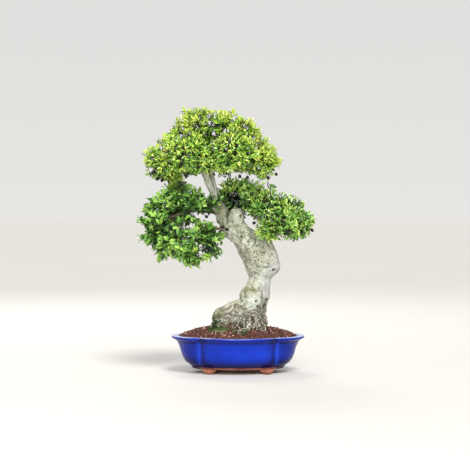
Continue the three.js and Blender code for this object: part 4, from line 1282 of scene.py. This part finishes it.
def seen_through(points):
    """Which points the windows leave open, as the camera sees them."""
    scale = -CAMERA[1] / (points[:, 1] - CAMERA[1])
    across = (points[:, 0] - CAMERA[0]) * scale + CAMERA[0]
    up = (points[:, 2] - CAMERA[2]) * scale + CAMERA[2]
    away = np.hypot(across[:, None] - WINDOWS[:, 0], up[:, None] - WINDOWS[:, 1])
    return (away < WINDOWS[:, 2]).any(1)


def pad_depths(points):
    """How deep each point lies in each pad; less than 0 is outside."""
    share = np.linalg.norm((points[:, None] - CENTRES) / RADII, axis=-1)
    return (1 - share) * MEANS


def canopy_depth(points):
    """How deep each point lies in all the pads, blended where they meet."""
    depth = pad_depths(points) / PAD_BLEND
    top = depth.max(1)
    return PAD_BLEND * (top + np.log(np.exp(depth - top[:, None]).sum(1)))


def canopy_normal(points):
    step = 2.0
    slope = [canopy_depth(points + step * way) - canopy_depth(points - step * way) for way in np.eye(3)]
    return unit(-np.stack(slope, -1))


def surface_points(pad, count, depth):
    """Random points over the open side of one pad, where depth(points) is their depth in the canopy."""
    way = unit(rng.normal(size=(count, 3))) * RADII[pad]
    low, high = np.full(count, 0.1), np.full(count, 1.5)
    for _ in range(14):
        middle = (low + high) / 2
        at = CENTRES[pad] + way * middle[:, None]
        deep = canopy_depth(at) > depth(at)
        low, high = np.where(deep, middle, low), np.where(deep, high, middle)
    points = CENTRES[pad] + way * low[:, None]
    return points[pad_depths(points).argmax(1) == pad]


def thinned(points, spacing, taken):
    """Those of the points that keep this spacing, also from points taken before, which lie in cells."""
    kept = []
    for p in points:
        i, j, k = np.floor(p / spacing).astype(int)
        near = [
            q for di in (-1, 0, 1) for dj in (-1, 0, 1) for dk in (-1, 0, 1)
            for q in taken.get((i + di, j + dj, k + dk), ())
        ]
        gaps = ((p[0] - q[0]) ** 2 + (p[1] - q[1]) ** 2 + (p[2] - q[2]) ** 2 for q in near)
        if all(gap > spacing * spacing for gap in gaps):
            taken.setdefault((i, j, k), []).append(p)
            kept.append(p)
    return np.array(kept)


def plan_tufts():
    """Middles of the tufts that the shoots gather in, and each one's way out, depth, shade and roundness."""
    middles, taken = [], {}
    for pad, name in enumerate(NAMES):
        spacing = KINDS[PADS[name][2]]["tuft"]
        spread = surface_points(pad, 900, lambda at: 2.0)
        middles.append(thinned(spread, spacing, taken.setdefault(spacing, {})))
    middles = np.concatenate(middles)
    count = len(middles)
    out = unit(canopy_normal(middles) + rng.normal(size=middles.shape) * 0.12)
    sunk = np.clip(rng.gamma(1.6, 2.6, count), 0, 13)
    sunk[rng.random(count) < 0.06] = 24
    return middles, out, sunk, rng.normal(0, 1, count), rng.uniform(13, 24, count)


def nearest_tuft(points):
    """For each point, the tuft it belongs to and its depth under the canopy's surface there."""
    middles, out, sunk, _, roundness = TUFTS
    which, depth = [], []
    for some in np.array_split(points, range(2000, len(points), 2000)):
        gap = some[:, None] - middles
        along = (gap * out).sum(-1)
        across = (gap**2).sum(-1) - along**2
        low = sunk + across / (2 * roundness) + np.where(np.abs(along) > 40, 100, 0)
        which.append(low.argmin(1))
        depth.append(low.min(1))
    return np.concatenate(which), np.minimum(np.concatenate(depth), 26)


def shoot_tips(pad):
    """Places for shoot tips over one pad, on the domes of its tufts."""
    spacing = KINDS[PADS[NAMES[pad]][2]]["spacing"]
    count = int(14 * MEANS[pad] ** 2 * 4 * math.pi / spacing**2 / 4)
    scatter = rng.gamma(1.4, 2.4, count) - 1.5
    return surface_points(pad, count, lambda at: nearest_tuft(at)[1] + scatter)


def stray_tips():
    """Tips of the stray shoots and the sprays, and the pad each belongs to."""
    at = np.column_stack([STRAYS[:, 0], np.zeros(len(STRAYS)), STRAYS[:, 1]])
    at = np.repeat(at, 5, axis=0)
    at = at + rng.normal(size=at.shape) * [5, 16, 5]
    pads = pad_depths(at).argmax(1)
    at += unit(CENTRES[pads] - at) * rng.uniform(0, 9, (len(at), 1))
    more = np.repeat(SPRAYS[:, :3], SPRAYS[:, 3].astype(int), axis=0)
    more = more + rng.normal(size=more.shape) * [5, 3, 4]
    return np.concatenate([at, more]), np.concatenate([pads, pad_depths(more).argmax(1)])


def plan_shoots(pad, tips):
    """One pad's shoots: where each ends and points, and how strong, light and golden it is."""
    name = NAMES[pad]
    kind = KINDS[PADS[name][2]]
    inner = len(tips)
    tips = np.concatenate([tips, STRAY_TIPS[STRAY_PADS == pad]])
    n = len(tips)
    which, _ = nearest_tuft(tips)
    middles, out, _, shade, _ = TUFTS
    outward = canopy_normal(tips)
    fan = unit(tips - (middles[which] - out[which] * TUFT_REACH))
    axis = unit(fan + 0.35 * outward + [0, 0, kind["rise"]] + rng.normal(size=(n, 3)) * 0.27)
    axis[inner:] = unit(outward[inner:] + [0, 0, 0.25] + rng.normal(size=(n - inner, 3)) * 0.25)
    shoots = SimpleNamespace(tips=tips, axis=axis, outward=outward)
    shoots.droop = unit(rng.normal(size=(n, 3)) + [0, 0, -0.4])
    shoots.vigour = np.clip(rng.normal(1.0, 0.2, n), 0.6, 1.5)
    shoots.turn = rng.uniform(0, math.pi, n)
    shoots.across = unit(np.cross(axis, unit(rng.normal(size=(n, 3)))))
    # painted light: leaves near the canopy's outside are lighter and more golden
    rim_light = np.clip((9 - canopy_depth(tips)) / 14, -0.9, 1)
    shaded = 2.5 * clamp(1.6 * gauss(tips, CAVE, 16, (1.5, 5, 0.75))) + spots(tips, SHADED)
    shaded = shaded - TONE_SHIFT.get(name, 0.0) / 0.3 - 0.55 * field(tips, 32, 63.1)
    clump = 0.55 * field(tips, 17, 0.0) + 0.2 * shade[which]
    # painted shade: darker on the undersides, in the hollow and in the shaded spots
    shoots.tone = kind["tone"] + 0.36 * clump + 0.1 * rim_light - 0.12 * clamp(-outward[:, 2]) - 0.3 * shaded
    # the gold share, with painted sunlight at the rim and on the crown's upturned tops, and less gold in
    # painted shade
    shoots.gold_and_sunlight = (
        kind["gold_and_sunlight"] + 0.55 * field(tips, 30, 12.7) + 0.08 * rim_light + 0.16 * (tips[:, 2] > 470) * outward[:, 2]
        + GOLD_SHIFT.get(name, 0.0) - 0.5 * clamp(shaded)
    )
    return shoots


def behind_tips(shoots, back):
    """Places on the drooping stems at distances behind each tip; back has shape (n, k)."""
    straight = shoots.tips[:, None] - shoots.axis[:, None] * back[..., None]
    return straight + shoots.droop[:, None] * (back**2 / STEM_DROOP)[..., None]


def leaf_pairs(shoots, kind):
    """Opposite pairs of leaves down the shoots: root, way, upper side, length, bend, fold, tone and gold."""
    n = len(shoots.tips)
    beyond = np.cross(shoots.axis, shoots.across)
    made = []
    for i, grown in enumerate(PAIR_SIZES):
        back = (i + 0.25) * kind["step"] * shoots.vigour
        spot = behind_tips(shoots, back[:, None])[:, 0]
        for half in (0, math.pi):
            turn = shoots.turn + i * math.pi / 2 + half + rng.normal(size=n) * 0.25
            lean = shoots.across * np.cos(turn)[:, None] + beyond * np.sin(turn)[:, None]
            spread = np.clip(0.45 + 0.22 * i + rng.normal(size=n) * 0.2, 0.2, 1.5)
            way = unit(shoots.axis * np.cos(spread)[:, None] + lean * np.sin(spread)[:, None] + [0, 0, 0.06])
            up = unit(shoots.axis + [0, 0, 0.3] + rng.normal(size=(n, 3)) * 0.24)
            up = unit(up - way * (up * way).sum(-1, keepdims=True))
            length = kind["length"] * grown * shoots.vigour * rng.uniform(0.82, 1.2, n)
            bend, fold = rng.uniform(0.0, 0.25, n), rng.uniform(0.08, 0.5, n)
            tone = shoots.tone + 0.15 - 0.14 * i + rng.normal(size=n) * 0.155
            gold_and_sunlight = clamp(shoots.gold_and_sunlight + 0.08 - 0.1 * i + rng.normal(size=n) * 0.16)
            made.append((spot + lean * 0.5, way, up, length, bend, fold, tone, gold_and_sunlight))
    return [np.concatenate(values) for values in zip(*made)]


def blades(root, way, up, length, width, bend, fold, rows):
    """Closed leaf blades, folded along the midrib and bent back towards the tip.

    Gives points, faces, the kind of corner and the share of rib at each point, and the points in each blade.
    """
    side = unit(np.cross(up, way))
    up = np.cross(way, side)
    length, width, bend, fold = (a[:, None] for a in (length, width, bend, fold))

    def midrib(t):
        return root + way * length * t - up * bend * length * t * t

    points = [midrib(0.0)]
    for t, share in BLADE_SHAPES[rows]:
        centre, half = midrib(t), width * share / 2
        raised = up * half * fold
        points += [centre + side * half + raised, centre - side * half + raised, centre, centre - up * 0.45]
    points.append(midrib(1.0))
    tip, end = len(points) - 1, rows - 1
    left, right, top, low = (lambda k, j=j: 1 + 4 * k + j for j in range(4))
    tris = [
        (0, top(0), left(0)), (0, right(0), top(0)), (top(end), tip, left(end)), (right(end), tip, top(end)),
        (0, left(0), low(0)), (0, low(0), right(0)), (low(end), left(end), tip), (right(end), low(end), tip),
    ]
    quads = []
    for k in range(end):
        quads += [
            (top(k), top(k + 1), left(k + 1), left(k)), (right(k), right(k + 1), top(k + 1), top(k)),
            (left(k), left(k + 1), low(k + 1), low(k)), (low(k), low(k + 1), right(k + 1), right(k)),
        ]
    count, each = len(root), tip + 1
    faces = [copies(np.array(tris), count, each), copies(np.array(quads), count, each)]
    corner = np.array([ENDS] + [LEFT_EDGE, RIGHT_EDGE, RIB_ABOVE, RIB_BELOW] * rows + [ENDS])
    rib = np.array([0.6] + [0, 0, 1, 1] * rows + [0.2])
    return np.stack(points, 1).reshape(-1, 3), faces, np.tile(corner, count), np.tile(rib, count), each


def outline_sharp(corner):
    """Marks the edges of a blade's outline, so that its upper and lower sides are shaded apart."""
    def sharp(ends):
        a, b = corner[ends[:, 0]], corner[ends[:, 1]]
        return ((a <= RIGHT_EDGE) & (b <= RIGHT_EDGE)) & (a + b > ENDS)
    return sharp


def make_leaves(pad, shoots, material):
    name = NAMES[pad]
    kind = KINDS[PADS[name][2]]
    leaves = leaf_pairs(shoots, kind)
    root, way, _, length, _, _, tone, _ = leaves
    odd = rng.random(len(tone)) < kind["odd"]
    tone[:] = np.clip(tone, 0.0, 0.84)
    tone[odd] = rng.uniform(0.9, 1.0, odd.sum())
    middle, end = root + way * length[:, None] * 0.5, root + way * length[:, None]
    outside = (np.abs(end[:, 1]) > REACH_Y) | (np.abs(end[:, 0] + POT_MIDDLE[0]) > REACH_X)
    keep = (rng.random(len(root)) > 0.05) & ~seen_through(middle) & ~outside
    root, way, up, length, bend, fold, tone, gold_and_sunlight = (values[keep] for values in leaves)
    width = length * kind["width"] * rng.uniform(0.84, 1.16, len(length))
    points, faces, corner, rib, each = blades(root, way, up, length, width, bend, fold, kind["rows"])
    mesh_piece(
        f"leaves_{name}", points, faces, material,
        {"tone": np.repeat(tone, each), "gold_and_sunlight": np.repeat(gold_and_sunlight, each), "rib": rib},
        sharp=outline_sharp(corner), replaces=[f"foliage_{name}"],
    )


def spread_out(points, reach, most):
    """Some of the points, so that none of the others is farther than reach from them."""
    chosen = [points[0]]
    room = np.linalg.norm(points - points[0], axis=1)
    while room.max() > reach and len(chosen) < most:
        chosen.append(points[room.argmax()])
        room = np.minimum(room, np.linalg.norm(points - chosen[-1], axis=1))
    return np.array(chosen)


def make_twigs(pad, shoots, limb_axis, material):
    """The shoots' own stems, links from them to the pad's hubs, and arms from the hubs to the limbs."""
    name = NAMES[pad]
    n = len(shoots.tips)
    reach = (len(PAIR_SIZES) + 0.6) * KINDS[PADS[name][2]]["step"] * shoots.vigour
    stems = behind_tips(shoots, reach[:, None] * [0.04, 0.5, 1.0])
    bases = stems[:, -1]
    hubs = spread_out(bases - shoots.outward * 10, HUB_SPACING, MOST_HUBS)
    home = hubs[np.linalg.norm(bases[:, None] - hubs, axis=-1).argmin(1)]
    share = np.linspace(0, 1, 4)[:, None]
    sag = shoots.outward[:, None] * (share - share * share) * -6
    links = bases[:, None] * (1 - share) + home[:, None] * share + sag
    limb = limb_axis[np.linalg.norm(hubs[:, None] - limb_axis[None, :, :3], axis=-1).argmin(1), :3]
    share = np.linspace(0, 1, 6)[:, None]
    bow = rng.normal(size=(len(hubs), 1, 3)) * 5 * np.sin(share * math.pi)
    arms = hubs[:, None] * (1 - share) + limb[:, None] * share + bow
    # paths, radii along each, sides, and how young the wood is
    rows = (
        (stems, (0.35, 0.55, 0.8), 3, 0.8), (links, (0.8, 0.9, 1.05, 1.2), 3, 0.3),
        (arms, np.linspace(1.2, 2.3, 6), 5, 0.0),
    )
    parts = [tubes(paths, np.tile(radii, (len(paths), 1)), sides)[:2] for paths, radii, sides, _ in rows]
    points, faces = joined(parts)
    young = np.concatenate([np.full(len(part[0]), row[3]) for part, row in zip(parts, rows)])
    shade = np.clip(1.6 * gauss(points, CAVE, 16, (1.6, 5, 0.9)), 0, 0.95)
    mesh_piece(
        f"twigs_{name}", points, faces, material, {"young": young, "shade": shade},
        replaces=[f"foliage_{name}"],
    )


def make_foliage(limb_axis):
    leaf_materials = {kind: leaf_material(kind) for kind in KINDS}
    twig = twig_material()
    taken = {}
    for pad, name in enumerate(NAMES):
        kind = PADS[name][2]
        spacing = KINDS[kind]["spacing"]
        tips = thinned(shoot_tips(pad), spacing, taken.setdefault(round(spacing), {}))
        shoots = plan_shoots(pad, tips)
        make_leaves(pad, shoots, leaf_materials[kind])
        open_air = ~seen_through(shoots.tips)
        shown = SimpleNamespace(**{key: values[open_air] for key, values in vars(shoots).items()})
        make_twigs(pad, shown, limb_axis, twig)


def make_berries():
    """Ripe berries with their calyx and stalk, hanging from the pads."""
    body, faces = lathe(BERRY, 12, 3.6, -4.2)
    faces = [group[:, ::-1] for group in faces]
    ways = unit(-canopy_normal(BERRIES) + [0, 0, 0.7] + rng.normal(size=BERRIES.shape) * 0.2)
    share = np.linspace(0, 1, 5)[:, None]
    parts, stalk = [], []
    for at, way in zip(BERRIES, ways):
        # The calyx faces away from the stalk.
        side = unit(np.cross(-way, [0.3, 1, 0.2]))
        turn = np.column_stack([side, np.cross(-way, side), -way])
        parts.append((body @ turn.T * rng.uniform(0.9, 1.1) + at, faces))
        path = at + way * (3.4 + 17 * share) + np.array([0, 0, 3.0]) * share * share
        points, tube, _ = tubes(path[None], np.full((1, 5), 0.65), 4)
        parts.append((points, tube))
        stalk += [np.zeros(len(body)), np.ones(len(points))]
    points, faces = joined(parts)
    mesh_piece("berries", points, faces, berry_material(), {"stalk": np.concatenate(stalk)})


def paint_screens():
    for node in ("drain_screen_left", "drain_screen_right"):
        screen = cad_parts[node]
        screen.data.materials.clear()
        screen.data.materials.append(screen_material())


# Stage, light and camera, in metres


def make_floor():
    sides, reach = 96, 60.0
    angle = full_turn(sides)
    points = np.column_stack([reach * np.cos(angle), reach * np.sin(angle), np.zeros(sides)])
    k = np.arange(sides)
    faces = np.stack([np.full(sides, sides), k, (k + 1) % sides], -1)
    mesh = bpy.data.meshes.new("floor")
    mesh.from_pydata(np.concatenate([points, [[0, 0, 0]]]).tolist(), [], faces.tolist())
    m = Nodes("pale_floor").set(Roughness=0.9, Specular_IOR_Level=0.1)
    m.colour(m.ramp(m.noise(0.5, 2), (0.3, (211, 208, 204)), (0.7, (214, 211, 207))))
    mesh.materials.append(m.material)
    floor = bpy.data.objects.new("floor", mesh)
    bpy.context.scene.collection.objects.link(floor)


def make_room():
    """A world that is as bright as the floor at the horizon and a little darker above."""
    world = bpy.data.worlds.new("studio")
    world.use_nodes = True
    tree = world.node_tree
    place = tree.nodes.new("ShaderNodeTexCoord").outputs["Generated"]
    height = tree.nodes.new("ShaderNodeSeparateXYZ")
    ramp = tree.nodes.new("ShaderNodeValToRGB")
    background = tree.nodes["Background"]
    tree.links.new(place, height.inputs[0])
    tree.links.new(height.outputs["Z"], ramp.inputs["Fac"])
    tree.links.new(ramp.outputs["Color"], background.inputs["Color"])
    stops = ((0.0, (0.80, 0.79, 0.77, 1)), (0.9, (0.50, 0.51, 0.53, 1)))
    for element, (position, colour) in zip(ramp.color_ramp.elements, stops):
        element.position, element.color = position, colour
    background.inputs["Strength"].default_value = 1.0
    bpy.context.scene.world = world


def make_lamp(name, kind, place, aim, power, colour, **more):
    data = bpy.data.lights.new(name, kind)
    data.energy, data.color = power, colour
    for key, value in more.items():
        setattr(data, key, value)
    obj = bpy.data.objects.new(name, data)
    obj.location = place
    obj.rotation_euler = (Vector(aim) - Vector(place)).to_track_quat("-Z", "Y").to_euler()
    bpy.context.scene.collection.objects.link(obj)


def make_camera():
    camera = bpy.data.objects.new("camera", bpy.data.cameras.new("camera"))
    camera.data.sensor_width = SENSOR
    camera.data.lens = FOCAL_PIXELS / PHOTO_WIDTH * SENSOR
    camera.data.clip_start, camera.data.clip_end = 0.1, 200
    camera.location = (CAMERA + POT_MIDDLE) / 1000
    camera.rotation_euler = (math.radians(90 - CAMERA_TILT), 0, 0)
    bpy.context.scene.collection.objects.link(camera)
    bpy.context.scene.camera = camera


# Build

make_pot()
trunk_tree, limb_axis = make_trunk()
make_soil(trunk_tree)
make_roots(trunk_tree)
make_moss(trunk_tree)
# The foliage has draws of its own, so that a change to the soil or the moss leaves it as it is.
rng = np.random.default_rng(SEED)
TUFTS = plan_tufts()
WINDOWS = np.concatenate([WINDOWS, flecks(CROWN_FLECKS)])
STRAY_TIPS, STRAY_PADS = stray_tips()
make_foliage(limb_axis)
make_berries()
paint_screens()
make_floor()
make_room()
trunk_aim, crown_aim = (0, 0, 0.35), (0, 0, 0.4)
make_lamp("key", "SUN", (0.5, -1.5, 2.5), trunk_aim, 2.5, (1.0, 0.98, 0.94), angle=math.radians(22))
make_lamp("front", "AREA", (-0.5, -2.9, 1.1), crown_aim, 46, (1.0, 0.99, 0.96), shape="DISK", size=1.5)
make_lamp("back", "AREA", (-0.6, 1.8, 2.0), crown_aim, 24, (1.0, 1.0, 0.98), shape="DISK", size=1.4)
make_camera()
bpy.context.scene.view_settings.view_transform = "Standard"
